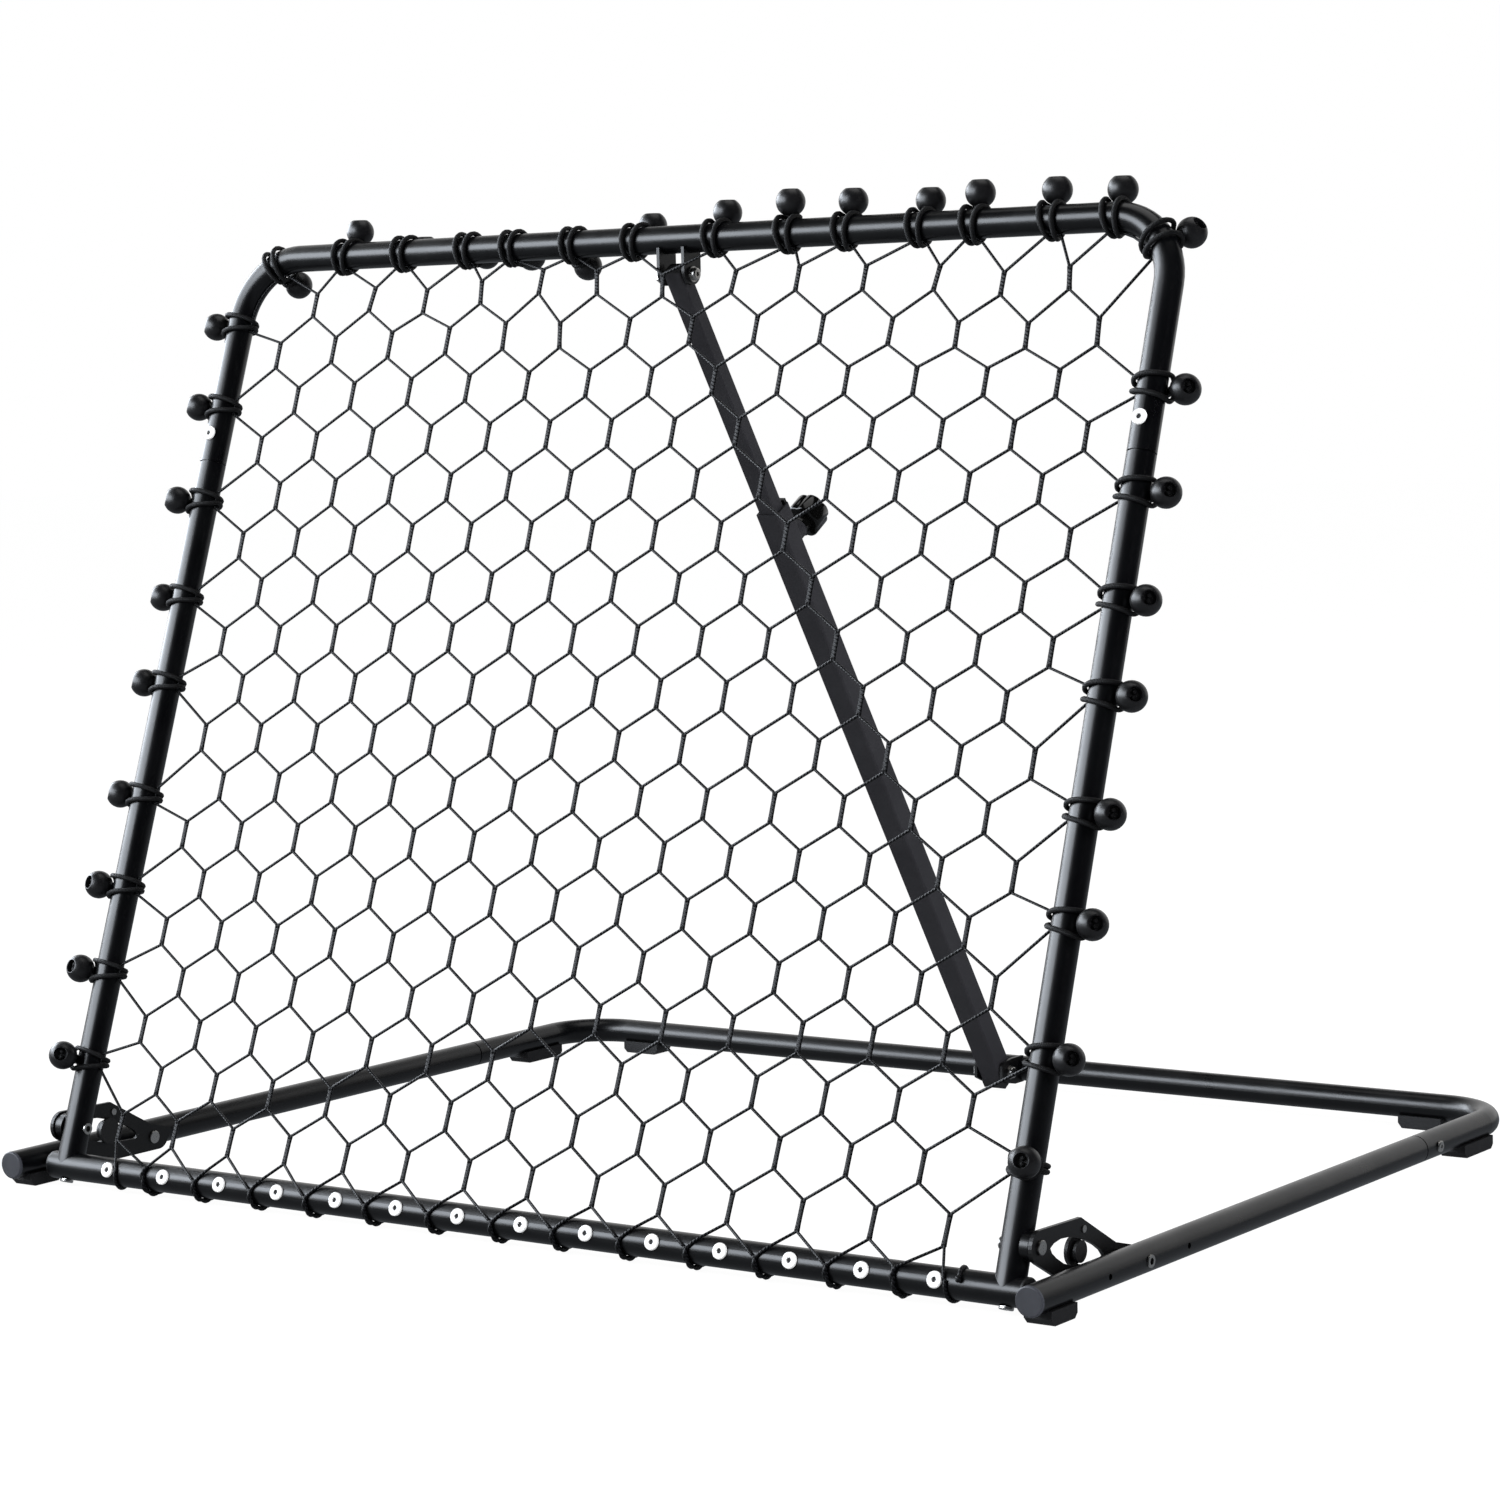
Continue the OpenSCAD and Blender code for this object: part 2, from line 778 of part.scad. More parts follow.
module bar_screws() {
    color("silver")
        on_panel()
            both_sides()
                translate([half_net, 0, -tube_r])
                    rotate([180, 0, 0])
                        socket_screw(bar_screw_head_d, bar_screw_head_t, bar_screw_d, tube_d + 8);
}

module net_screws() {
    color("white")
        on_panel()
            for (k = [0 : net_cols - 1])
                translate([leg_x(0, k), -tube_r, 0])
                    facing_front()
                        socket_screw(screw_head_d, screw_head_t, screw_d, screw_len - 6);
}

module hinge_rivets() {
    color("silver")
        on_panel()
            both_sides()
                translate([half_net - tube_r, 0, pivot_up])
                    along_x()
                        tubular_rivet(plate_out_x + 0.2 - half_net + tube_r);
}

module hinge_washers() {
    color("lightgray")
        on_panel()
            both_sides()
                translate([washer_x, 0, pivot_up])
                    along_x()
                        linear_extrude(washer_t)
                            ring_2d(boss_d / 2 - 2, rivet_d / 2 + fit);
}

// ---- Net ----

function half_width(a, b) =
    (a < first_left && b < first_left && floor(a / 2) == floor(b / 2) ? leg_w : strand_w) / 2;
function toward(a, b) = (knots[b] - knots[a]) / norm(knots[b] - knots[a]);
function heading(a, b) = atan2(knots[b].y - knots[a].y, knots[b].x - knots[a].x);
function cross_2d(a, b) = a.x * b.y - a.y * b.x;

// Neighbours of a knot in the order of their headings
function in_order(k, list) =
    len(list) < 2 ? list
        : let (
            first = list[0],
            rest = [for (i = [1 : len(list) - 1]) list[i]],
            before = [for (j = rest) if (heading(k, j) < heading(k, first)) j],
            after = [for (j = rest) if (heading(k, j) >= heading(k, first)) j]
        )
        concat(in_order(k, before), [first], in_order(k, after));

joined = [for (k = [0 : len(knots) - 1]) in_order(k, [for (s = strands)
    if (s[0] == k || s[1] == k) s[0] == k ? s[1] : s[0]])];
corner_count = [for (j = joined) max(2, len(j))];
first_corner = [for (k = 0, n = 0; k < len(knots); n = n + corner_count[k], k = k + 1) n];

// Corner of a knot between the strands to two neighbours
function crotch(k, a, b) =
    let (u = toward(k, a), v = toward(k, b))
    knots[k] + (half_width(k, b) * u + half_width(k, a) * v) / cross_2d(u, v);
function end_corner(k, side) =
    let (u = toward(k, joined[k][0]))
    knots[k] + side * half_width(k, joined[k][0]) * [-u.y, u.x];
corners = [for (k = [0 : len(knots) - 1], c = [0 : corner_count[k] - 1])
    len(joined[k]) == 1 ? end_corner(k, c == 0 ? 1 : -1)
        : crotch(k, joined[k][c], joined[k][(c + 1) % len(joined[k])])];

function place_in(k, j) = [for (i = [0 : len(joined[k]) - 1]) if (joined[k][i] == j) i][0];
function left_corner(k, j) = first_corner[k] + place_in(k, j);
function right_corner(k, j) =
    first_corner[k] + (place_in(k, j) + corner_count[k] - 1) % corner_count[k];
// A wall stands between the front and the back of an edge of the outline
function wall(p, q) = [[2 * p, 2 * q, 2 * q + 1], [2 * p, 2 * q + 1, 2 * p + 1]];
function faces_of(s) =
    let (
        a_right = right_corner(s[0], s[1]),
        a_left = left_corner(s[0], s[1]),
        b_right = right_corner(s[1], s[0]),
        b_left = left_corner(s[1], s[0])
    )
    concat(
        [
            [2 * a_left, 2 * b_right, 2 * b_left], [2 * a_left, 2 * b_left, 2 * a_right],
            [2 * b_left + 1, 2 * b_right + 1, 2 * a_left + 1],
            [2 * a_right + 1, 2 * b_left + 1, 2 * a_left + 1]
        ],
        wall(a_right, b_left),
        wall(b_right, a_left),
        len(joined[s[0]]) == 1 ? wall(a_left, a_right) : [],
        len(joined[s[1]]) == 1 ? wall(b_left, b_right) : []
    );
function knot_faces(k) =
    let (c = 2 * first_corner[k])
    len(joined[k]) < 3 ? [] : [[c + 4, c + 2, c], [c + 1, c + 3, c + 5]];

module net() {
    color("black")
        on_panel()
            polyhedron(
                points = [for (c = corners, y = [-1, 1]) [c.x, y * net_t / 2 - pushed(c), c.y]],
                faces = concat(
                    [for (s = strands) each faces_of(s)],
                    [for (k = [0 : len(knots) - 1]) each knot_faces(k)])
            );
}

module net_bar_loops() {
    color("black")
        on_panel()
            for (x = bar_loop_xs)
                along_x(x)
                    rotate_extrude()
                        translate([bar_loop_r, 0])
                            circle(d = leg_w);
}

// Two cord rings round a tube along X: pinched at the net, spread under the ball
module tie_rings(shift, slack) {
    r = ring_r + slack;
    for (e = [-1, 1]) {
        at_ball = shift + e * ring_spread;
        at_net = e * ring_pinch;
        tilt = atan2(at_ball - at_net, 2 * r);
        translate([(at_ball + at_net) / 2, 0, 0])
            rotate([0, 90 + tilt, 0])
                rotate_extrude()
                    translate([r / cos(tilt), 0])
                        circle(cord_r);
    }
}

// Ball with a flat end and a round recess in it, where the cord's knot sits
module tie_ball(shift, slack, tip) {
    flat = 0.86 * ball_r;
    translate([shift, 0, ball_out + slack])
        rotate([-tip, 0, 0])
            difference() {
                sphere(ball_r);
                translate([-ball_d, -ball_d, flat])
                    cube([2 * ball_d, 2 * ball_d, ball_d]);
                translate([0, 0, flat - ball_recess])
                    cylinder(d = ball_d / 2, h = ball_d);
            }
}

// One tie's cord or ball: its tube runs along X and its ball stands on Z
module tie(piece, place, way = 1, slack = 0) {
    rotate([-place[1], 0, 0])
        if (piece == "cord")
            tie_rings(way * place[2], slack);
        else
            tie_ball(way * place[2], slack, place[3] - place[1]);
}

module tie_on_bend(piece, side, place) {
    at = on_bend(side, place[0], bend_r);
    translate([at.x, 0, at.y])
        rotate([0, side * place[0], 0])
            tie(piece, place, side, bend_slack);
}

module all_ties(piece) {
    on_panel() {
        for (t = top_ties)
            translate([t[0] * col_pitch, 0, net_h])
                tie(piece, t);
        tie_on_bend(piece, -1, left_bend_tie);
        tie_on_bend(piece, 1, right_bend_tie);
        for (i = [0 : side_count - 1])
            translate([-half_net, 0, left_tie_s(i)])
                rotate([0, -90, 0])
                    tie(piece, left_ties[i]);
        for (i = [0 : side_count - 2])
            translate([half_net, 0, right_tie_s(i)])
                rotate([0, 90, 0])
                    tie(piece, right_ties[i], -1);
    }
}

module tie_cords() {
    color("black")
        all_ties("cord");
}

module tie_balls() {
    color("#222226")
        all_ties("ball");
}

// ---- Top pivot ----

module top_bracket_ears() {
    round_r = ear_w / 2;
    bar_up = top_pin_drop;
    color("dimgray")
        both_sides()
            translate([top_ear_x, top_pin.y, top_pin.z])
                rotate([90, 0, 90])
                    linear_extrude(ear_t)
                        difference() {
                            union() {
                                translate([0, bar_up - top_ear_drop + round_r])
                                    circle(round_r);
                                translate([-round_r, bar_up - top_ear_drop + round_r])
                                    square([ear_w, top_ear_drop - round_r - tube_r * 0.56]);
                            }
                            translate([0, bar_up])
                                circle(tube_r + weld_gap);
                            circle(d = bolt_d + 2 * fit);
                        }
}

module top_bolt() {
    color("silver")
        translate(top_pin)
            cross_bolt(top_ear_x + ear_t + weld_gap);
}

// ---- Support arm ----

module arm_inner_tube() {
    color("#2b2b30")
        on_arm()
            difference() {
                translate([0, inner_y, arm_len - inner_len])
                    linear_extrude(inner_len + inner_over)
                        box_tube_2d(inner_w, inner_d, arm_corner - 0.5, arm_wall - 0.3);
                translate([0, 0, arm_len])
                    along_x(-arm_w)
                        cylinder(d = bolt_d + 2 * fit, h = 2 * arm_w);
            }
}

module arm_top_plug() {
    plug_w = inner_w - 2 * (arm_wall - 0.3) - 2 * fit;
    plug_d = inner_d - 2 * (arm_wall - 0.3) - 2 * fit;
    plug_in = inner_over - bolt_d / 2 - 0.5;
    color("black")
        on_arm()
            translate([0, inner_y, arm_len + inner_over]) {
                translate([0, 0, -plug_in])
                    linear_extrude(plug_in + 0.5)
                        rounded_rect(plug_w, plug_d, 1);
                linear_extrude(1)
                    rounded_rect(inner_w, inner_d, arm_corner - 0.5);
            }
}

module arm_outer_tube() {
    color("#2b2b30")
        on_arm()
            difference() {
                translate([0, 0, -outer_under])
                    linear_extrude(mouth_z + outer_under)
                        box_tube_2d(arm_w, arm_d, arm_corner, arm_wall);
                along_x(-arm_w)
                    cylinder(d = bolt_d + 2 * fit, h = 2 * arm_w);
                translate([0, 0, knob_z])
                    rotate([-90, 0, 0])
                        cylinder(d = bolt_d + 2 * fit, h = arm_d);
            }
}

// Guide in the mouth: lines both sides and the back, with a lip over the back wall
module arm_mouth_bush() {
    insert = 25;
    lip = 4;
    opening_w = inner_w + 0.5;
    back_y = inner_back + swing_room;
    color("black")
        on_arm()
            translate([0, 0, mouth_z]) {
                difference() {
                    translate([0, 0, -insert])
                        linear_extrude(insert)
                            rounded_rect(cavity_w - 2 * fit, cavity_d - 2 * fit, arm_corner - arm_wall);
                    translate([-opening_w / 2, back_y - 2 * arm_d, -insert - 1])
                        cube([opening_w, 2 * arm_d, insert + 2]);
                }
                translate([-opening_w / 2, back_y, -1])
                    cube([opening_w, cavity_d / 2 - fit - back_y, lip + 1]);
                translate([-opening_w / 2, back_y, weld_gap])
                    cube([opening_w, arm_d / 2 - back_y, lip - weld_gap]);
            }
}

// Cap on the foot of the arm, with a bored plug that lines the foot bolt.
// Its rear corner is bevelled, so that it swings clear of the rear tube.
module arm_end_cap() {
    plug_up = 12;
    cap = 9.4;
    color("black")
        on_arm()
            translate([0, 0, -outer_under]) {
                difference() {
                    translate([0, 0, -1])
                        linear_extrude(plug_up + outer_under + 1)
                            rounded_rect(cavity_w - 2 * fit, cavity_d - 2 * fit, arm_corner - arm_wall);
                    translate([0, 0, outer_under])
                        along_x(-arm_w)
                            cylinder(d = bolt_d + 2 * fit, h = 2 * arm_w);
                }
                translate([-arm_w / 2, 0, 0])
                    rotate([90, 0, 90])
                        linear_extrude(arm_w)
                            polygon([
                                [-arm_d / 2, 0], [-arm_d / 2, 1 - cap], [1 - arm_d / 2, -cap],
                                [arm_d / 2 - 7.75, -cap], [arm_d / 2, -2], [arm_d / 2, 0]
                            ]);
            }
}

// ---- Clamp knob ----

knob_nut_d = 20;
knob_nut_t = 12;
knob_collar_d = 20;
knob_collar_t = 7;
knob_lobes = 6;

// Places the knob's frame: Z along its stud, from the arm's axis out of its back
module on_knob() {
    on_arm()
        translate([0, 0, knob_z])
            rotate([-90, 0, 0])
                children();
}

module knob_nut() {
    color("#2b2b30")
        on_knob()
            translate([0, 0, arm_d / 2])
                linear_extrude(knob_nut_t)
                    ring_2d(knob_nut_d / 2, bolt_d / 2 + fit);
}

knob_base = arm_d / 2 + knob_nut_t + 0.85;

module clamp_knob() {
    groove_d = knob_d * 0.3;
    color("black")
        on_knob()
            difference() {
                union() {
                    translate([0, 0, knob_base])
                        cylinder(d = knob_collar_d, h = knob_collar_t + 1);
                    translate([0, 0, knob_base + knob_collar_t])
                        rounded_disc(knob_d / 2, knob_h, 3);
                }
                for (i = [0 : knob_lobes - 1])
                    rotate([0, 0, (i + 0.5) * 360 / knob_lobes])
                        translate([knob_d / 2 + groove_d * 0.28, 0, knob_base + knob_collar_t - 1])
                            cylinder(d = groove_d, h = knob_h + 2);
                translate([0, 0, knob_base - 1])
                    cylinder(d = bolt_d + 2 * weld_gap, h = knob_collar_t + knob_h - 3);
            }
}

// Stud moulded into the knob, shown backed off from the inner tube
module knob_stud() {
    tip = inner_back + swing_room;
    color("silver")
        on_knob()
            translate([0, 0, tip])
                cylinder(d = bolt_d, h = knob_base + knob_collar_t + knob_h - 4 - tip);
}

side_tube_left();
side_tube_right();
rear_tube();
base_tube_caps();
base_joint_screws();
front_feet();
rear_bar_feet();
rear_side_feet();
hinge_plate_left();
hinge_plate_right();
plate_rivets();
plate_pins();
plate_spacers();
hinge_buttons();
foot_bracket_ears();
foot_bolt();
bottom_bar();
bar_end_caps();
upright_left();
upright_right();
top_tube();
upright_joint_screws();
bar_screws();
net_screws();
hinge_rivets();
hinge_washers();
net();
net_bar_loops();
tie_cords();
tie_balls();
top_bracket_ears();
top_bolt();
arm_inner_tube();
arm_top_plug();
arm_outer_tube();
arm_mouth_bush();
arm_end_cap();
knob_nut();
clamp_knob();
knob_stud();
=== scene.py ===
import math

import bmesh
import bpy
from mathutils import Matrix, Vector


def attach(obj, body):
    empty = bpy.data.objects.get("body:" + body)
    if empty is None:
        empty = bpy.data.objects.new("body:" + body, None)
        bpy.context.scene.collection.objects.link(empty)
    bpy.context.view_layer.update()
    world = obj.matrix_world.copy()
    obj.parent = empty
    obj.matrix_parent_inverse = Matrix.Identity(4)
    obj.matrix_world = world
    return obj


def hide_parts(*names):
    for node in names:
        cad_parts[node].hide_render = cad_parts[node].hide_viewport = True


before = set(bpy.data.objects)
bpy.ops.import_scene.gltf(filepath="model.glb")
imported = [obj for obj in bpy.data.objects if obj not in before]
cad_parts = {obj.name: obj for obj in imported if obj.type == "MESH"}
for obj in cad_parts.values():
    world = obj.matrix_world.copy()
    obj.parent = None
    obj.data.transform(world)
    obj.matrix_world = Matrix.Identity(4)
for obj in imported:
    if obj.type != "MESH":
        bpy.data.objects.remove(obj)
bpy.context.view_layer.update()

# ---- Viewpoint ----
# The rebounder is seen from the player's side, from the right and from just under the top
# bar's height, through a long lens that looks a little down.
view_data = bpy.data.cameras.new("viewpoint")
view_data.lens = 93.677
view_data.sensor_width = 36.0
view_data.clip_start = 0.1
view_data.clip_end = 60.0
viewpoint = bpy.data.objects.new("viewpoint", view_data)
bpy.context.scene.collection.objects.link(viewpoint)
bpy.context.scene.camera = viewpoint
stand = (2.05928, -2.91738, 0.71569)
turn, dip, roll = -0.6174339, 0.0929416, -0.0245438
ahead = Vector((math.sin(turn) * math.cos(dip), math.cos(turn) * math.cos(dip), -math.sin(dip)))
level = Vector((math.cos(turn), -math.sin(turn), 0.0))
upward = level.cross(ahead)
right = math.cos(roll) * level + math.sin(roll) * upward
top = -math.sin(roll) * level + math.cos(roll) * upward
axes = Matrix((right, top, -ahead)).transposed().to_4x4()
viewpoint.matrix_world = Matrix.Translation(stand) @ axes

# ---- Studio ----
# A white floor that runs on into a white surround, with soft boxes at the front left, on
# the right and overhead. A lit card at the left, which only gloss sees, draws the bands of
# light on the tubes. The floor keeps a soft shadow under them.


def linear(code):
    """A colour written as sRGB hex, as linear values."""
    parts = [int(code[i:i + 2], 16) / 255 for i in (1, 3, 5)]
    return [p / 12.92 if p <= 0.04045 else ((p + 0.055) / 1.055) ** 2.4 for p in parts] + [1.0]


def add_node(tree, kind, inputs=None, **settings):
    """Adds a node, with its settings, and its inputs set or linked."""
    made = tree.nodes.new(kind)
    for name, value in settings.items():
        setattr(made, name, value)
    for name, value in (inputs or {}).items():
        if isinstance(value, bpy.types.NodeSocket):
            tree.links.new(value, made.inputs[name])
        else:
            made.inputs[name].default_value = value
    return made


def new_finish(name):
    """An empty material and its node tree."""
    made = bpy.data.materials.new(name)
    made.use_nodes = True
    made.node_tree.nodes.clear()
    return made, made.node_tree


def seen_directly(tree):
    """1 on the rays that show the surround itself: from the viewpoint, off gloss, through glass."""
    ray = add_node(tree, "ShaderNodeLightPath").outputs
    some = add_node(tree, "ShaderNodeMath", {0: ray["Is Camera Ray"], 1: ray["Is Glossy Ray"]},
                    operation="MAXIMUM")
    every = add_node(tree, "ShaderNodeMath", {0: some.outputs[0], 1: ray["Is Transmission Ray"]},
                     operation="MAXIMUM")
    return every.outputs[0]


def two_faced(tree, share, first, second, output):
    """Ends a tree with a mix of two shaders: the first where the share is 0."""
    both = add_node(tree, "ShaderNodeMixShader",
                    {0: share, 1: first.outputs[0], 2: second.outputs[0]})
    add_node(tree, output, {"Surface": both.outputs[0]})


bpy.ops.mesh.primitive_plane_add(size=40.0, location=(0, 0, 0))
floor = bpy.context.object
floor.name = "studio_floor"
floor_paint, tree = new_finish("white studio floor")
# Seen directly, most of the floor is its own glow, and the rest of it takes the shadows
glow_share = 0.84
lift = add_node(tree, "ShaderNodeMath", {0: seen_directly(tree), 1: glow_share},
                operation="MULTIPLY")
painted = add_node(tree, "ShaderNodeBsdfDiffuse", {"Color": linear("#f2f2f2")})
glow = add_node(tree, "ShaderNodeEmission", {"Color": (1, 1, 1, 1), "Strength": 1.14})
two_faced(tree, lift.outputs[0], painted, glow, "ShaderNodeOutputMaterial")
floor.data.materials.append(floor_paint)

surround = bpy.data.worlds.new("studio_surround")
surround.use_nodes = True
tree = surround.node_tree
tree.nodes.clear()
fill = add_node(tree, "ShaderNodeBackground", {"Color": (1, 1, 1, 1), "Strength": 0.28})
white = add_node(tree, "ShaderNodeBackground", {"Color": (1, 1, 1, 1), "Strength": 1.0})
two_faced(tree, seen_directly(tree), fill, white, "ShaderNodeOutputWorld")
bpy.context.scene.world = surround
bpy.context.scene.view_settings.view_transform = "Standard"


def soft_box(name, place, aim, size, power):
    """A rectangular lamp of the given width and height in m, turned to its aim."""
    data = bpy.data.lights.new(name, "AREA")
    data.shape = "RECTANGLE"
    data.size, data.size_y = size
    data.energy = power
    made = bpy.data.objects.new(name, data)
    bpy.context.scene.collection.objects.link(made)
    made.location = place
    made.rotation_euler = (Vector(aim) - Vector(place)).to_track_quat("-Z", "Y").to_euler()
    return made


front_box = soft_box("front_box", (-2.04, -2.92, 2.27), (0, 0, 0.45), (3.6, 1.5), 80.0)
side_box = soft_box("side_box", (3.6, -0.6, 1.7), (0, 0, 0.4), (2.0, 2.0), 110.0)
front_box.visible_glossy = side_box.visible_glossy = False
soft_box("top_box", (0.2, 0.4, 3.4), (0, 0, 0.3), (2.6, 2.0), 25.0)


def gloss_card(name, corners, finish):
    """A card that only gloss sees, as a strip of quads between pairs of corners."""
    mesh = bpy.data.meshes.new(name)
    strip = [(i, i + 2, i + 3, i + 1) for i in range(0, len(corners) - 2, 2)]
    mesh.from_pydata(corners, [], strip)
    card = bpy.data.objects.new(name, mesh)
    bpy.context.scene.collection.objects.link(card)
    mesh.materials.append(finish)
    for kind in ("camera", "diffuse", "shadow", "transmission"):
        setattr(card, "visible_" + kind, False)


def glowing(name, strength):
    """A sheet that gives off a cool white light."""
    made, tree = new_finish(name)
    light = add_node(tree, "ShaderNodeEmission", {
        "Color": (0.86, 0.92, 1.0, 1.0), "Strength": strength})
    add_node(tree, "ShaderNodeOutputMaterial", {"Surface": light.outputs[0]})
    return made


# Black cards at the right, in front and overhead keep the white room off the tubes
card_felt, tree = new_finish("black felt of the cards")
nap = add_node(tree, "ShaderNodeBsdfDiffuse", {"Color": linear("#0a0a0a"), "Roughness": 1.0})
add_node(tree, "ShaderNodeOutputMaterial", {"Surface": nap.outputs[0]})
wall = [(5, -7, 0.02), (5, -7, 6), (5, 7, 0.02), (5, 7, 6)]
gloss_card("right_card", wall, card_felt)
gloss_card("front_card", [(-0.6, -7, 0.02), (-0.6, -7, 6)] + wall[:2], card_felt)
gloss_card("ceiling_card", [(-5, -7, 6), (-5, 7, 6), (5, -7, 6), (5, 7, 6)], card_felt)
# A bright sheet bent round the left side, and a dim one on the floor
lit_sheet, dim_sheet = glowing("lit sheet", 14.0), glowing("dim sheet", 0.28)
just_up = 0.0006
gloss_card("floor_card", [(x, y, just_up) for x in (-6, 6) for y in (-7, 7)], dim_sheet)
sheet_r, sheet_foot, sheet_head = 4.5, 0.9, 3.3
arc = [math.radians(a) for a in range(-110, -11, 7)]
gloss_card("lit_card", [(sheet_r * math.sin(a), -sheet_r * math.cos(a), z)
                        for a in arc for z in (sheet_foot, sheet_head)], lit_sheet)

# ---- Round frame tubes ----
# Cold-rolled steel tube, 25 mm across, bent and swaged, degreased and powder-coated satin
# black in one go. The baked coat shows a faint orange peel and a slightly uneven gloss.


def noise(tree, scale, detail, rough):
    """Noise over the object, in cycles a metre."""
    place = add_node(tree, "ShaderNodeTexCoord")
    made = add_node(tree, "ShaderNodeTexNoise", {
        "Vector": place.outputs["Object"], "Scale": scale, "Detail": detail, "Roughness": rough})
    return made.outputs["Fac"]


def spread(tree, value, low, high):
    """Noise's usual 0.3 to 0.7, spread from low to high."""
    made = add_node(tree, "ShaderNodeMapRange", {
        "Value": value, "From Min": 0.3, "From Max": 0.7, "To Min": low, "To Max": high})
    return made.outputs[0]


def blend(tree, share, first, second):
    """The first colour where the share is 0, and the second where it is 1."""
    made = add_node(tree, "ShaderNodeMix", {"Factor": share}, data_type="RGBA")
    made.inputs[6].default_value = first
    made.inputs[7].default_value = second
    return made.outputs[2]


def surface(tree, colour, rough, height, depth, reach=0.0002, more=None):
    """Ends a material's tree: a body with a relief whose full height is reach, in metres."""
    relief = add_node(tree, "ShaderNodeBump", {"Height": height, "Strength": depth,
                                               "Distance": reach})
    body = add_node(tree, "ShaderNodeBsdfPrincipled", {
        "Base Color": colour, "Roughness": rough, "Normal": relief.outputs[0], **(more or {})})
    add_node(tree, "ShaderNodeOutputMaterial", {"Surface": body.outputs[0]})


def coat(name, colour, lighter, rough, level, peel_mm, peel):
    """Powder coat on steel: a flat pigment, a fine orange peel, and a slightly uneven gloss."""
    made, tree = new_finish(name)
    cloud = noise(tree, 22.0, 3.0, 0.6)
    pigment = blend(tree, spread(tree, cloud, 0.0, 1.0), linear(colour), linear(lighter))
    grain = noise(tree, 1000.0 / peel_mm, 1.0, 0.4)
    surface(tree, pigment, spread(tree, cloud, rough - 0.03, rough + 0.04), grain, peel,
            more={"IOR": 1.5, "Specular IOR Level": level})
    return made


def finish_nodes(material, *names):
    """Gives CAD nodes their material."""
    for name in names:
        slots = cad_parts[name].data.materials
        slots.clear()
        slots.append(material)


# Deep black, with a soft band of light along each tube
tube_coat = coat("satin black powder coat on steel tube", "#050507", "#08090b", 0.30, 0.32, 1.2,
                 0.02)
finish_nodes(tube_coat, "side_tube_left", "side_tube_right", "rear_tube", "bottom_bar",
             "upright_left", "upright_right", "top_tube")

# ---- Brackets and hinge plates ----
# Laser-cut 3 mm and 3.5 mm steel plate, powder-coated with the frame. The flat plate takes
# a thicker, duller coat than the tube.
plate_coat = coat("black powder coat on steel plate", "#080809", "#0c0c0d", 0.40, 0.35, 1.0, 0.15)
finish_nodes(plate_coat, "hinge_plate_left", "hinge_plate_right", "plate_spacers",
             "foot_bracket_ears", "top_bracket_ears")

# ---- Support arm ----
# Two box-section steel tubes, one sliding in the other, coated a dull charcoal that hardly
# shines. A threaded boss for the clamp knob is welded on before coating.
arm_coat = coat("charcoal powder coat on box tube", "#29292d", "#2f2f33", 0.50, 0.12, 0.9, 0.2)
finish_nodes(arm_coat, "arm_inner_tube", "arm_outer_tube", "knob_nut")

# ---- Plastic caps, buttons and bushes ----
# Injection-moulded polyethylene, pressed into the tube ends: a spark-eroded mould leaves a
# fine, even, matt grain.


def moulded(name, colour, rough, level, grain_mm, depth):
    """A moulded or stoved skin: a faintly clouded pigment and a fine even grain."""
    made, tree = new_finish(name)
    cloud = noise(tree, 90.0, 2.0, 0.5)
    lighter = [min(1.0, c * 1.35 + 0.002) for c in linear(colour)[:3]] + [1.0]
    pigment = blend(tree, cloud, linear(colour), lighter)
    grain = noise(tree, 1000.0 / grain_mm, 2.0, 0.5)
    surface(tree, pigment, spread(tree, cloud, rough - 0.05, rough + 0.05), grain, depth,
            more={"IOR": 1.5, "Specular IOR Level": level})
    return made


# Matt blue-grey, so that the caps stand out from the black tubes
grey_moulding = moulded("blue-grey moulded polyethylene", "#33353c", 0.5, 0.3, 0.5, 0.3)
finish_nodes(grey_moulding, "base_tube_caps")
# Black and a little shinier, so that these pieces hardly show beside the tubes
black_moulding = moulded("black moulded polyethylene", "#0e0e0f", 0.45, 0.4, 0.5, 0.3)
finish_nodes(black_moulding, "bar_end_caps", "hinge_buttons", "arm_top_plug", "arm_mouth_bush",
             "arm_end_cap")
# A thin pale ring between each upright and its hinge plate
nylon = moulded("natural grey nylon washer", "#8c8e92", 0.45, 0.4, 0.5, 0.2)
finish_nodes(nylon, "hinge_washers")

# ---- Rubber feet ----
# Compression-moulded black rubber blocks, cradled to the tube and screwed on from below.
# They are the dullest pieces, with a coarse skin.
foot_rubber = moulded("black moulded rubber", "#101012", 0.6, 0.3, 0.8, 0.5)
finish_nodes(foot_rubber, "front_feet", "rear_bar_feet", "rear_side_feet")

# ---- Zinc-plated rivets, screws and bolts ----
# Cold-headed steel, barrel-plated with bright zinc: a soft metallic grey, faintly
# scratched where the parts tumbled against each other.
zinc, tree = new_finish("bright zinc plate on steel")
rubbed = noise(tree, 700.0, 4.0, 0.7)
shade = blend(tree, rubbed, linear("#9d9b97"), linear("#c9c8c6"))
surface(tree, shade, spread(tree, rubbed, 0.22, 0.42), rubbed, 0.15, more={"Metallic": 1.0})
finish_nodes(zinc, "plate_rivets", "plate_pins", "hinge_rivets", "base_joint_screws",
             "bar_screws", "foot_bolt", "top_bolt", "knob_stud")

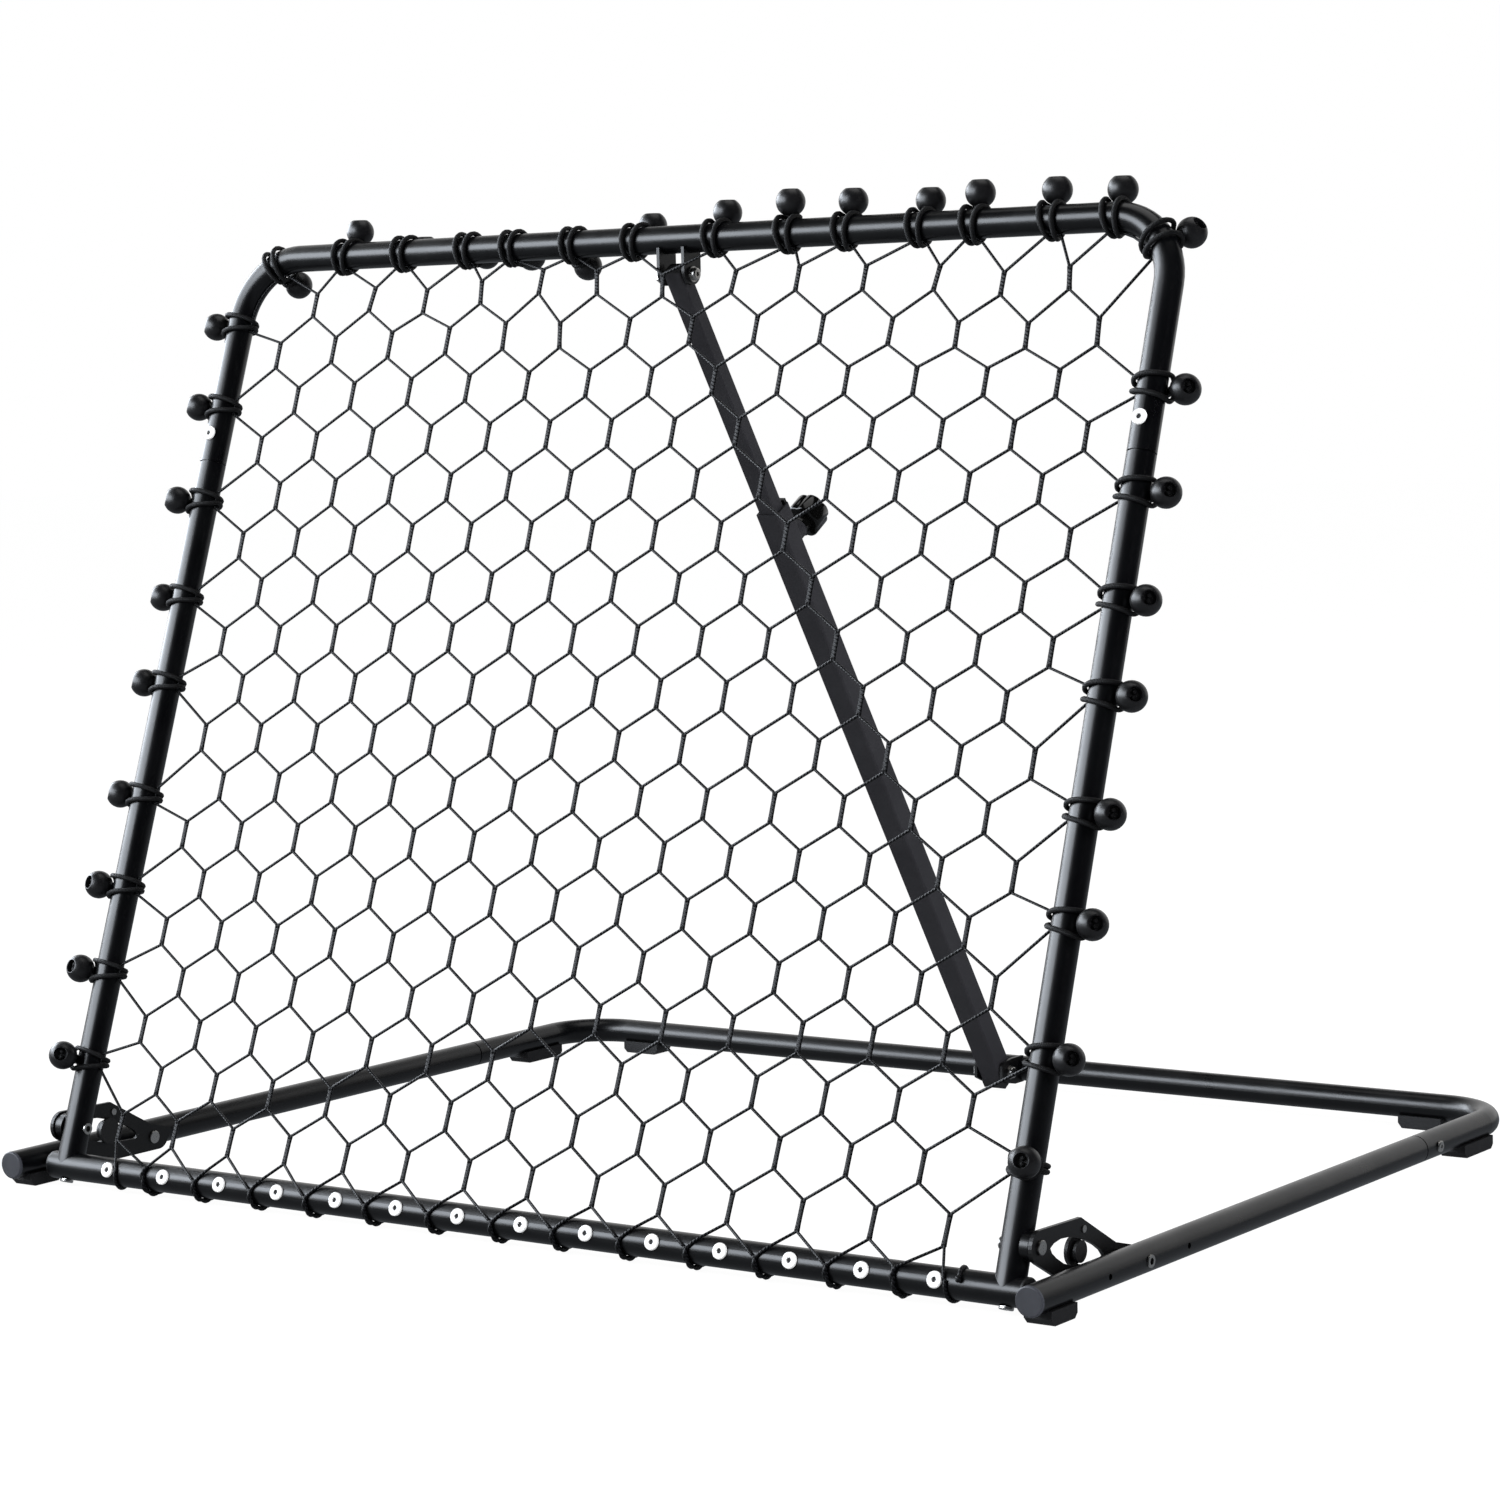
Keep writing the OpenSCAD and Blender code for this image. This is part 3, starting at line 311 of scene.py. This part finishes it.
# ---- White-headed screws ----
# Socket screws with stove-enamelled white heads hold the net to the bottom bar, and one
# locks each upper tube joint. A near-black disc at the foot of each hexagonal socket is
# painted shade.
# Clean white dots with a soft gloss, the brightest spots on the frame
enamel = moulded("white stove enamel on screw heads", "#eceef0", 0.3, 0.5, 1.0, 0.1)
finish_nodes(enamel, "net_screws", "upright_joint_screws")

# From the net's plane, in mm with z up along the net, to the frame of the whole
lean = 19.5
panel = Matrix.Translation((0, -0.401417, 0.017948)) @ Matrix.Rotation(
    -math.radians(lean), 4, "X") @ Matrix.Scale(0.001, 4)
col_pitch, net_h, half_net, bend_r = 68.4, 879.0, 504.8, 60.0
socket_foot, socket_r, joint_screw_at = -13.3, 2.45, 701.9


def ring(across, deep, count):
    """The corners of an outline on an ellipse, from its half axes in mm."""
    angles = [2 * math.pi / count * i for i in range(count)]
    return [(across * math.cos(a), deep * math.sin(a)) for a in angles]


# Painted shade: nearly black, so that each head reads as a white ring
painted_socket_shade = moulded("painted shade at the foot of the sockets", "#0b0b0c", 0.6, 0.2, 1.0, 0.1)
bores = [Vector(((k - 6.5) * col_pitch, socket_foot, 0)) for k in range(14)]
bores += [Vector((side * half_net, socket_foot, joint_screw_at)) for side in (-1, 1)]
mesh = bpy.data.meshes.new("socket_floors")
floors = [panel @ (bore + Vector((x, 0, z)))
          for bore in bores for x, z in ring(socket_r, socket_r, 6)]
mesh.from_pydata(floors, [], [[6 * b + q for q in range(6)] for b in range(len(bores))])
mesh.materials.append(painted_socket_shade)
sockets = bpy.data.objects.new("socket_floors", mesh)
bpy.context.scene.collection.objects.link(sockets)
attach(sockets, "net_frame")

# ---- Clamp knob ----
# A hand knob with six rounded lobes over a round collar, moulded in one in glossy black
# phenolic on the head of a steel stud. The flutes run right through.
# From the knob's own axis to its place on the arm
knob_at = Matrix(((1, 0, 0, 0), (0, 0.53739, 0.84334, 0.04768), (0, -0.84334, 0.53739, 0.57108),
                  (0, 0, 0, 1)))
collar_end, lobes_deep, sides = 0.0316, 0.0243, 48
bpy.ops.object.select_all(action="DESELECT")
bpy.ops.mesh.primitive_cylinder_add(vertices=sides, radius=0.0173, depth=lobes_deep,
                                    location=(0, 0, 0))
lobes = bpy.context.object
bpy.ops.object.mode_set(mode="EDIT")
bpy.ops.mesh.select_mode(type="VERT")
# Every eighth corner is the middle of a flute and is drawn in most, its neighbours less
for off, drawn_in in ((0, 0.895), (1, 0.95), (2, 0.987)):
    bpy.ops.mesh.select_all(action="DESELECT")
    shape = bmesh.from_edit_mesh(lobes.data)
    for corner in shape.verts:
        steps = round(math.degrees(math.atan2(corner.co.y, corner.co.x)) * sides / 360) % 8
        corner.select_set(min(abs(steps - 4), 8 - abs(steps - 4)) == off)
    shape.select_flush_mode()
    bmesh.update_edit_mesh(lobes.data)
    bpy.ops.transform.resize(value=(drawn_in, drawn_in, 1), center_override=(0, 0, 0))
bpy.ops.mesh.select_mode(type="FACE")
# The ends are domed in four steps: how far in from the rim, and how far up
dome = ((0.0006, 0.0013), (0.0009, 0.0009), (0.0014, 0.0006), (0.0040, 0.0004))
for end in (1, -1):
    bpy.ops.mesh.select_all(action="DESELECT")
    shape = bmesh.from_edit_mesh(lobes.data)
    for face in shape.faces:
        face.select_set(face.normal.z * end > 0.9)
    bmesh.update_edit_mesh(lobes.data)
    for rim, rise in dome:
        bpy.ops.mesh.inset(thickness=rim, depth=0)
        bpy.ops.transform.translate(value=(0, 0, rise * end))
domed_deep = lobes_deep + 2 * sum(rise for rim, rise in dome)
bpy.ops.mesh.select_all(action="SELECT")
bpy.ops.transform.resize(value=(1, 1, lobes_deep / domed_deep), center_override=(0, 0, 0))
bpy.ops.transform.translate(value=(0, 0, collar_end + lobes_deep / 2))
bpy.ops.mesh.select_all(action="DESELECT")
bpy.ops.mesh.primitive_cylinder_add(vertices=32, radius=0.0099, depth=0.0078,
                                    location=(0, 0, 0.0285))
bpy.ops.mesh.normals_make_consistent(inside=False)
bpy.ops.object.mode_set(mode="OBJECT")
bpy.ops.object.shade_smooth_by_angle(angle=math.radians(50))
lobes.data.transform(knob_at)
lobes.name = "hand_knob"
# Pure black with small sharp lights
knob_gloss = moulded("glossy black phenolic moulding", "#040404", 0.14, 0.3, 1.6, 0.04)
lobes.data.materials.append(knob_gloss)
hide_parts("clamp_knob")
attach(lobes, "knob")

# ---- Net ----
# Knotless netting of twisted black polyethylene twine, 2.6 mm thick. Two twines run side by
# side for each short leg, stitched through each other, and part again to its neighbours.
# It hangs 18 rows deep in the frame and is drawn out of true by its ties.
twine_r = 1.3
edge_r = 13.6  # from a tube's axis to the edge twine that lies on it
row_foot, row_pitch, rows = 39.0, 46.7, 18


def row_at(row):
    """The height of a row's legs up the net."""
    return row_foot + row_pitch * row


def pushed(x, s):
    """How far the arm's bracket pushes the top middle to the front."""
    return 8.6 * math.exp(-(x / 35)**2 - ((s - net_h + 15.55) / 40)**2)


def drawn(x, s):
    """Where the pull of the ties takes a knot, with the bracket's push on the top middle."""
    u, t = x / 450, (s - 440) / 400
    across = (-0.8 - 1.3 * t - 4.3 * t**2 + 4.4 * t**3 + 3.9 * u + 2.1 * u * t + 3.1 * u**2
              + 0.3 * u**2 * t - 0.2 * u**3)
    along = (4.4 + 5.0 * t - 2.1 * t**2 - 0.1 * t**3 + 1.7 * u - 1.3 * u * t - 5.5 * u * t**2
             - 4.9 * u**2 - 9.1 * u**2 * t + 2.2 * u**3)
    return Vector((x + across, -pushed(x, s), s + along))


# How far single legs near the top are pulled aside by their own ties: across and along
# the net in mm, at the upper end and at the lower end.
tugged = {
    (17, 1): (3, 0, 0, 0), (17, 2): (-1.8, -7, -1.8, -7), (17, 3): (-7, -2.3, -3.7, -1.7),
    (17, 4): (-6.2, 5, -6.4, 4.4), (17, 5): (-13.5, 1.5, -8.3, 1.2),
    (17, 6): (-2.4, -7.4, -1.6, -4.3), (17, 7): (2.7, -3.2, 1, -1.5),
    (17, 10): (5.3, -0.4, 2.6, 0), (17, 11): (0, -5.1, 0, -3.9), (17, 12): (-7.5, 1.2, -4.3, 2.3),
    (16, 4): (-3.7, 1.5, -2, 1), (16, 5): (-9.6, -1.3, -5, 0), (16, 10): (1.7, -2.5, 1, -1.5),
    (16, 11): (-1.5, -5.5, -1, -3.5), (16, 12): (-3, -5.5, -2, -3.5), (16, 13): (-6, 0.6, -4, 0.5)}


def knot(row, k, end):
    """A leg's lower (-1) or upper (1) end; the fuller rows have 14 legs, the others 13."""
    x = (k - (6.5 if row % 2 == 0 else 6.0)) * col_pitch
    half = 11.75 if row == 17 else 13.0
    tug = tugged.get((row, k), (0, 0, 0, 0))[0 if end > 0 else 2:]
    return drawn(x, row_at(row) + end * half) + Vector((tug[0], 0, tug[1]))


def new_cords():
    """An empty set of cords, which lay_cord fills and finish_cords turns into one piece."""
    return {"points": [], "faces": [], "spots": []}


def lay_cord(cords, path, outline, side, swell=None):
    """Sweeps an outline along a path; spots hold the length in mm and the share of a turn."""
    base, count, run = len(cords["points"]), len(outline), 0.0
    spans = len(path) - 1
    for i, here in enumerate(path):
        along = (path[min(i + 1, spans)] - path[max(i - 1, 0)]).normalized()
        side = (side - along * side.dot(along)).normalized()
        out = along.cross(side)
        size = swell[i] if swell else 1.0
        cords["points"] += [here + (side * a + out * b) * size for a, b in outline]
        if i < spans:
            step = (path[i + 1] - here).length
            first, second = base + i * count, base + (i + 1) * count
            for j in range(count):
                n = (j + 1) % count
                cords["faces"].append([first + j, first + n, second + n, second + j])
                cords["spots"].append([(run, j / count), (run, (j + 1) / count),
                                       (run + step, (j + 1) / count), (run + step, j / count)])
            run += step
    for first in (base, base + spans * count):
        cords["faces"].append([first + j for j in range(count)])
        cords["spots"].append([(0.0, j / count) for j in range(count)])


def finish_cords(name, cords, material, node):
    """One piece from all the cords laid so far, with its pattern map and outward normals."""
    mesh = bpy.data.meshes.new(name)
    mesh.from_pydata([panel @ p for p in cords["points"]], [], cords["faces"])
    lengthwise = mesh.uv_layers.new(name="lengthwise")
    spots = [spot for face in cords["spots"] for spot in face]
    for loop, spot in zip(lengthwise.data, spots):
        loop.uv = spot
    shape = bmesh.new()
    shape.from_mesh(mesh)
    bmesh.ops.recalc_face_normals(shape, faces=shape.faces[:])
    shape.to_mesh(mesh)
    shape.free()
    for face in mesh.polygons:
        face.use_smooth = True
    piece = bpy.data.objects.new(name, mesh)
    bpy.context.scene.collection.objects.link(piece)
    mesh.materials.append(material)
    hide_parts(node)
    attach(piece, "net_frame")


def twisted(name, dark, light, pitch_mm, starts, rough, level, crossed=0.0):
    """Twine or jacketed cord: slanting yarns along the length map, with a highlight painted lighter
    on their crowns.
    """
    made, tree = new_finish(name)
    spot = add_node(tree, "ShaderNodeUVMap", uv_map="lengthwise")
    parts = add_node(tree, "ShaderNodeSeparateXYZ", {0: spot.outputs[0]})
    waves = []
    for lean_way in (1, -1):
        around = add_node(tree, "ShaderNodeMath", {
            0: parts.outputs[1], 1: lean_way * starts * 2 * math.pi}, operation="MULTIPLY")
        slant = add_node(tree, "ShaderNodeMath", {
            0: parts.outputs[0], 1: 2 * math.pi / pitch_mm, 2: around.outputs[0]},
            operation="MULTIPLY_ADD")
        waves.append(add_node(tree, "ShaderNodeMath", {0: slant.outputs[0]}, operation="SINE"))
    yarns = add_node(tree, "ShaderNodeMath", {
        0: waves[1].outputs[0], 1: crossed, 2: waves[0].outputs[0]}, operation="MULTIPLY_ADD")
    height = add_node(tree, "ShaderNodeMath", {
        0: noise(tree, 900.0, 2.0, 0.6), 1: 0.8, 2: yarns.outputs[0]}, operation="MULTIPLY_ADD")
    # Painted highlight: the yarn crowns get the lighter colour
    crown_highlight = add_node(tree, "ShaderNodeMapRange", {
        "Value": height.outputs[0], "From Min": 0.1, "From Max": 1.7})
    pigment = blend(tree, crown_highlight.outputs[0], linear(dark), linear(light))
    surface(tree, pigment, rough, height.outputs[0], 0.5, 0.0003,
            {"IOR": 1.5, "Specular IOR Level": level})
    return made


# Drawn polyethylene yarns have a waxy gloss, which breaks up on the stitched legs. Part of
# that broken gloss is painted: the yarn crowns are coloured lighter as a highlight.
braid = twisted("twisted black polyethylene twine", "#030304", "#1a1b1f", 3.2, 2, 0.5, 0.2)
hexagon = ring(twine_r, twine_r, 6)
pair_outline = [(2.6, 0.0), (1.8, 1.15), (0.0, 0.6), (-1.8, 1.15), (-2.6, 0.0), (-1.8, -1.15),
                (0.0, -0.6), (1.8, -1.15)]
across_net = Vector((1, 0, 0))
out_of_net = Vector((0, 1, 0))
twines = new_cords()
for row in range(rows):
    for k in range(14 if row % 2 == 0 else 13):
        foot, head = knot(row, k, -1), knot(row, k, 1)
        rise = (head - foot).normalized()
        lay_cord(twines, [foot - rise * 0.9, foot + rise * 0.6, foot.lerp(head, 0.25),
                          foot.lerp(head, 0.75), head - rise * 0.6, head + rise * 0.9],
                 pair_outline, across_net, [0.62, 1.08, 0.96, 0.96, 1.08, 0.62])


def into_leg(row, k, end, way):
    """A twine's first two points: inside the leg, in the half on its own side, and at its end."""
    tip, back = knot(row, k, end), knot(row, k, -end)
    inward = (back - tip).normalized()
    return [tip + inward * 3.0 + across_net * 0.9 * way,
            tip + inward * 0.2 + across_net * 0.7 * way]


def lay_between(a, middle, b):
    """A twine from leg to leg by way of the middle; a leg is given by row, place, end and side."""
    lay_cord(twines, into_leg(*a) + middle + into_leg(*b)[::-1], hexagon, out_of_net)


def join_legs(a, b):
    """A slanting twine between two legs."""
    lay_between(a, [into_leg(*a)[1].lerp(into_leg(*b)[1], 0.5)], b)


for row in range(rows - 1):
    for k in range(13):
        for e in (0, 1):
            if row % 2 == 0:
                join_legs((row, k + e, 1, 1 - 2 * e), (row + 1, k, -1, 2 * e - 1))
            else:
                join_legs((row, k, 1, 2 * e - 1), (row + 1, k + e, -1, 1 - 2 * e))


def on_bend(side, angle, r):
    """A point at a bend of the top tube, from straight up, r from the bend's centre."""
    turned = math.radians(angle)
    return Vector((side * (half_net - bend_r + r * math.sin(turned)), 0,
                   net_h - bend_r + r * math.cos(turned)))


# The tie places along the frame: a share of a column pitch on top, an offset in mm from
# every second row on the uprights, and degrees from straight up on the bends. Then the
# ball's turn to the rear, its shift along the tube, and the turn its flat end faces.
top_ties = [
    (-5.8, 16, 13, -20), (-4.64, 61, 3, -20), (-3.52, 79, 0, 79), (-2.76, 86, 2, 86),
    (-1.8, 113, 6, 113), (-0.85, 40, 13, -20), (0.53, 19, 6, -20), (1.65, -10, 6, -20),
    (2.57, 5, 4, -20), (3.69, 17, 3, -20), (4.48, 1, 3, -20), (5.67, 7, -5, -20),
    (6.48, 16, 0, -20)]
left_ties = [
    (13, -66, -1, -122), (4, -26, -2, -80), (-8, -20, -3, -72), (-15, -9, -1, -45),
    (0, -6, -1, -45), (-9, -2, -1, -45), (-7, -22, -3, -45), (-8, -11, -1, -45),
    (-19, -7, -2, -45)]
right_ties = [
    (12, -67, -1, -74), (2, -20, 0, -47), (18, -15, -2, -47), (13, -14, -2, -47),
    (15, -7, -1, -47), (0, -9, -1, -47), (-4, 0, 0, -47), (-9, 12, 0, -47)]
# How far along the top bar from its place each tie takes hold of the net
top_hold = [8.6, 2.5, 3, 4, 7.5, 11, 7, 9, 5, 3.5, 3.5, 1, 4.5]
left_bend_tie = (26, 113, 0, 113)
right_bend_tie = (52, 45, -2, -20)

# The net's edge twine runs from leg to leg by way of each tie, where it lies on the tube
rest_at = (-7.0, -2.5, 2.5, 7.0)
rim, ceiling = half_net - edge_r, net_h - edge_r
for side, k, ties in ((-1, 0, left_ties), (1, 13, right_ties)):
    for i, tie in enumerate(ties[:8]):
        s = row_at(2 * i + 1) + tie[0]
        lay_between((2 * i, k, 1, side), [Vector((side * rim, 0, s + step)) for step in rest_at],
                    (2 * i + 2, k, -1, side))
s = row_at(17) + left_ties[8][0]
lay_between((16, 0, 1, -1), [Vector((-rim, 0, s + step)) for step in (-7.0, 0.0, 6.0)]
            + [on_bend(-1, angle, bend_r - edge_r) for angle in range(78, 15, -12)], (17, 0, 1, -1))
last_top = top_ties[12][0] * col_pitch + top_hold[12]
lay_between((16, 13, 1, 1), [on_bend(1, angle, bend_r - edge_r) for angle in range(62, 1, -12)]
            + [Vector((last_top, 0, ceiling)), Vector((last_top - 7, 0, ceiling))], (17, 12, 1, 1))
for i, tie in enumerate(top_ties[:12]):
    x = tie[0] * col_pitch + top_hold[i]
    lay_between((17, i, 1, 1), [Vector((x + step, 0, ceiling)) for step in rest_at],
                (17, i + 1, 1, -1))

# ---- The net's hold on the bottom bar ----
# The lowest twines cross the front of the bar in pairs and meet between the white screws.
# From there each pair is twisted into one loop, which winds under the bar to the rear and
# ends in a knot. The first and last loop have only one twine.
bar_r = 12.6  # 0.1 over the bar itself, so that the twine lies clear of it
hold_r = bar_r + twine_r
loop_knot_r = 15.2
cuts = 26
wound = new_cords()
# Where each loop's twines meet: mm from the middle between two screws, and degrees up
loop_shift = [45, 11, 5, 4, 0, 0, 2, 3, 0.3, 0.8, 0.8, 1, 1, -4, -24]
loop_meet = [20, 50, 20, 15, 15, 16, 16, 16, 16, 16, 16, 16, 20, 45, 20]


def on_bar(x, world_angle, r):
    """A point on the bar: 0 degrees faces the front, level with the floor, and 90 is up."""
    turned = math.radians(world_angle - lean)
    return Vector((x, -r * math.cos(turned), r * math.sin(turned)))


for j in range(15):
    meet_x = (j - 7) * col_pitch + loop_shift[j]
    for k, way in ((j - 1, 1), (j, -1)):
        if 0 <= k <= 13:
            path = into_leg(0, k, -1, way)
            tip = path[1]
            touch = 90 + lean - math.degrees(math.acos(hold_r / tip.z))
            free = math.sqrt(tip.z**2 - hold_r**2)
            resting = hold_r * math.radians(touch - loop_meet[j])
            for step in range(5):
                share = (free + resting * step / 4) / (free + resting)
                angle = touch + (loop_meet[j] - touch) * step / 4
                path.append(on_bar(tip.x + (meet_x - way * 1.0 - tip.x) * share, angle, hold_r))
            lay_cord(twines, path, hexagon, across_net)
    single = j in (0, 14)
    end_angle = {0: -150, 14: -330}.get(j, -160)
    end_x = meet_x + {0: -8, 14: 12}.get(j, 6)
    apart = 0.0 if single else 0.9
    for n in range(1 if single else 2):
        path = []
        for c in range(cuts + 1):
            share = c / cuts
            angle = loop_meet[j] + 3 + (end_angle - loop_meet[j]) * share
            twist = math.pi * n + share * 4 * math.pi
            lead = min(1.0, share * 6)
            middle_x = meet_x + (end_x - meet_x) * share**2
            path.append(on_bar(middle_x + apart * math.cos(twist), angle,
                               hold_r + apart * lead * (1 + math.sin(twist))))
        lay_cord(wound, path, ring(1.6, 1.6, 8), across_net)
    knot_at = on_bar(end_x, end_angle, loop_knot_r)
    along = (on_bar(end_x, end_angle - 10, loop_knot_r) - knot_at).normalized()
    round_knot = [math.radians(d) for d in range(-80, 81, 20)]
    lay_cord(wound, [knot_at + along * 3.0 * math.sin(a) for a in round_knot], ring(2.7, 2.2, 8),
             across_net, [math.cos(a) for a in round_knot])

finish_cords("knotless_net", twines, braid, "net")
finish_cords("bar_windings", wound, braid, "net_bar_loops")

# ---- Elastic ties ----
# One loop of 4.4 mm elastic cord in a woven polyester jacket for each tie. Two runs go from
# the ball's neck behind the tube to the net and back over its front; the loop's end hooks
# round the neck. The two cut ends are drawn up in the ball's recess.
cord_r, ring_r, ball_out = 2.2, 15.0, 27.99
over_twine = 1.8  # how much further out a run lies where it takes the edge twine
# Duller and smoother than the twine, with a fine crossed weave whose crowns carry a faint
# painted highlight
jacket = twisted("woven polyester jacket of elastic cord", "#0a0a0b", "#121214", 1.2, 4, 0.62, 0.25,
                 0.8)
octagon = ring(cord_r, cord_r, 8)
elastic = new_cords()
ball_places = []


def ease(points, cuts):
    """A smooth curve through the points, with the same number of cuts in each span."""
    eased = []
    last = len(points) - 1
    for i in range(last):
        before, a, b, after = (points[max(i - 1, 0)], points[i], points[i + 1],
                               points[min(i + 2, last)])
        for c in range(cuts):
            t = c / cuts
            eased.append(0.5 * (2 * a + (b - before) * t
                                + (2 * before - 5 * a + 4 * b - after) * t * t
                                + (3 * a - before - 3 * b + after) * t**3))
    return eased + [points[-1]]


def put_tie(frame_at, tie, way, slack, at_net, at_ball, hold=0.0):
    """Lays one tie round a tube along x of frame_at; its runs part by at_net and at_ball."""
    turn, shift = tie[1], tie[2] * way

    def at(angle, r, x):
        turned, out = math.radians(angle), r + slack
        return frame_at @ Vector((x, out * math.sin(turned), out * math.cos(turned)))

    half = []
    for e in (1, -1):
        neck_x = shift + e * cord_r
        run = [at(turn, 21.0, neck_x), at(turn + 9, 16.9, neck_x), at(turn + 22, 15.2, neck_x)]
        for step in range(1, 8):
            share = step / 8
            run.append(at(turn + 22 + (158 - turn) * share,
                          ring_r + over_twine * max(0, share - 0.75) * 4 * 0.9,
                          neck_x * (1 - share) + (hold + e * 2.3) * share))
        run.append(at(180, ring_r + over_twine, hold + e * at_net))
        for step in range(1, 9):
            share = step / 8
            run.append(at(180 + (180 + turn) * share,
                          ring_r + over_twine * max(0, 0.25 - share) * 4,
                          hold * (1 - share) + shift * share
                          + e * (at_net + (at_ball - at_net) * share**0.7)))
        half.append(run)
    hook = [at(turn + 36.5 * math.sin(a), ring_r + 4.5 * math.sin(a)**2,
               shift + at_ball * math.cos(a))
            for a in [math.radians(d) for d in (25, 50, 70, 90, 110, 130, 155)]]
    lay_cord(elastic, ease(half[0] + hook + half[1][::-1], 2), octagon,
             frame_at.to_3x3() @ across_net)
    ball_at = frame_at @ Matrix.Rotation(-math.radians(turn), 4, "X") @ Matrix.Translation(
        (shift, 0, ball_out + slack)) @ Matrix.Rotation(-math.radians(tie[3] - turn), 4, "X")
    ball_places.append(ball_at)
    for e in (1, -1):
        stub = [ball_at @ Vector((e * 2.35, 0, z)) for z in (5.9, 7.6, 8.6, 9.1)]
        lay_cord(elastic, stub, octagon, ball_at.to_3x3() @ across_net, [1.0, 1.0, 0.8, 0.35])


for tie, hold in zip(top_ties, top_hold):
    put_tie(Matrix.Translation((tie[0] * col_pitch, 0, net_h)), tie, 1, 0.0, 3.0, 8.5, hold)
for side, tie in ((-1, left_bend_tie), (1, right_bend_tie)):
    put_tie(Matrix.Translation(on_bend(side, tie[0], bend_r)) @ Matrix.Rotation(
        side * math.radians(tie[0]), 4, "Y"), tie, side, 0.75, 2.6, 8.5)
for side, ties, at_net, at_ball in ((-1, left_ties, 2.35, 9.8), (1, right_ties, 3.2, 10.6)):
    for i, tie in enumerate(ties):
        put_tie(Matrix.Translation((side * half_net, 0, row_at(2 * i + 1) + tie[0]))
                @ Matrix.Rotation(side * math.pi / 2, 4, "Y"), tie, -side, 0.0, at_net, at_ball)
finish_cords("elastic_ties", elastic, jacket, "tie_cords")

# ---- Tie balls ----
# Injection-moulded black polypropylene balls, 26 mm across, with one flat end and a round
# recess in it for the cord's ends. The mould leaves a satin skin.
flat_at = 0.01118
bpy.ops.object.select_all(action="DESELECT")
bpy.ops.mesh.primitive_uv_sphere_add(segments=32, ring_count=20, radius=0.013, location=(0, 0, 0))
ball = bpy.context.object
bpy.ops.object.mode_set(mode="EDIT")
bpy.ops.mesh.select_all(action="SELECT")
bpy.ops.mesh.bisect(plane_co=(0, 0, flat_at), plane_no=(0, 0, 1), clear_outer=True, use_fill=True)
bpy.ops.mesh.select_all(action="DESELECT")
bpy.ops.mesh.select_mode(type="FACE")
shape = bmesh.from_edit_mesh(ball.data)
for face in shape.faces:
    face.select_set(face.calc_center_median().z > 0.0111)
bmesh.update_edit_mesh(ball.data)
bpy.ops.mesh.inset(thickness=0.0006, depth=0)
bpy.ops.mesh.extrude_region_move(TRANSFORM_OT_translate={"value": (0, 0, -0.005)})
bpy.ops.mesh.select_all(action="DESELECT")
bpy.ops.mesh.select_mode(type="EDGE")
shape = bmesh.from_edit_mesh(ball.data)
for edge in shape.edges:
    edge.select_set(all(abs(corner.co.z - flat_at) < 1e-5 for corner in edge.verts))
bmesh.update_edit_mesh(ball.data)
bpy.ops.mesh.bevel(offset=0.00028, segments=2, affect="EDGES")
bpy.ops.mesh.select_all(action="SELECT")
bpy.ops.mesh.normals_make_consistent(inside=False)
bpy.ops.object.mode_set(mode="OBJECT")
bpy.ops.object.shade_smooth_by_angle(angle=math.radians(40))
# A soft round light on each ball, a little wider than on the tubes
ball_finish = moulded("satin black moulded polypropylene", "#0c0c0e", 0.38, 0.35, 0.9, 0.2)
balls = []
for number, place in enumerate(ball_places):
    one = bpy.data.objects.new("tie_ball_%d" % (number + 1), ball.data.copy())
    bpy.context.scene.collection.objects.link(one)
    one.data.transform(panel @ place @ Matrix.Scale(1000, 4))
    one.data.materials.clear()
    one.data.materials.append(ball_finish)
    balls.append(one)
bpy.data.objects.remove(ball)
bpy.ops.object.select_all(action="DESELECT")
for one in balls:
    one.select_set(True)
bpy.context.view_layer.objects.active = balls[0]
bpy.ops.object.join()
all_balls = bpy.context.object
all_balls.name = "tie_balls_moulded"
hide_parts("tie_balls")
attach(all_balls, "net_frame")
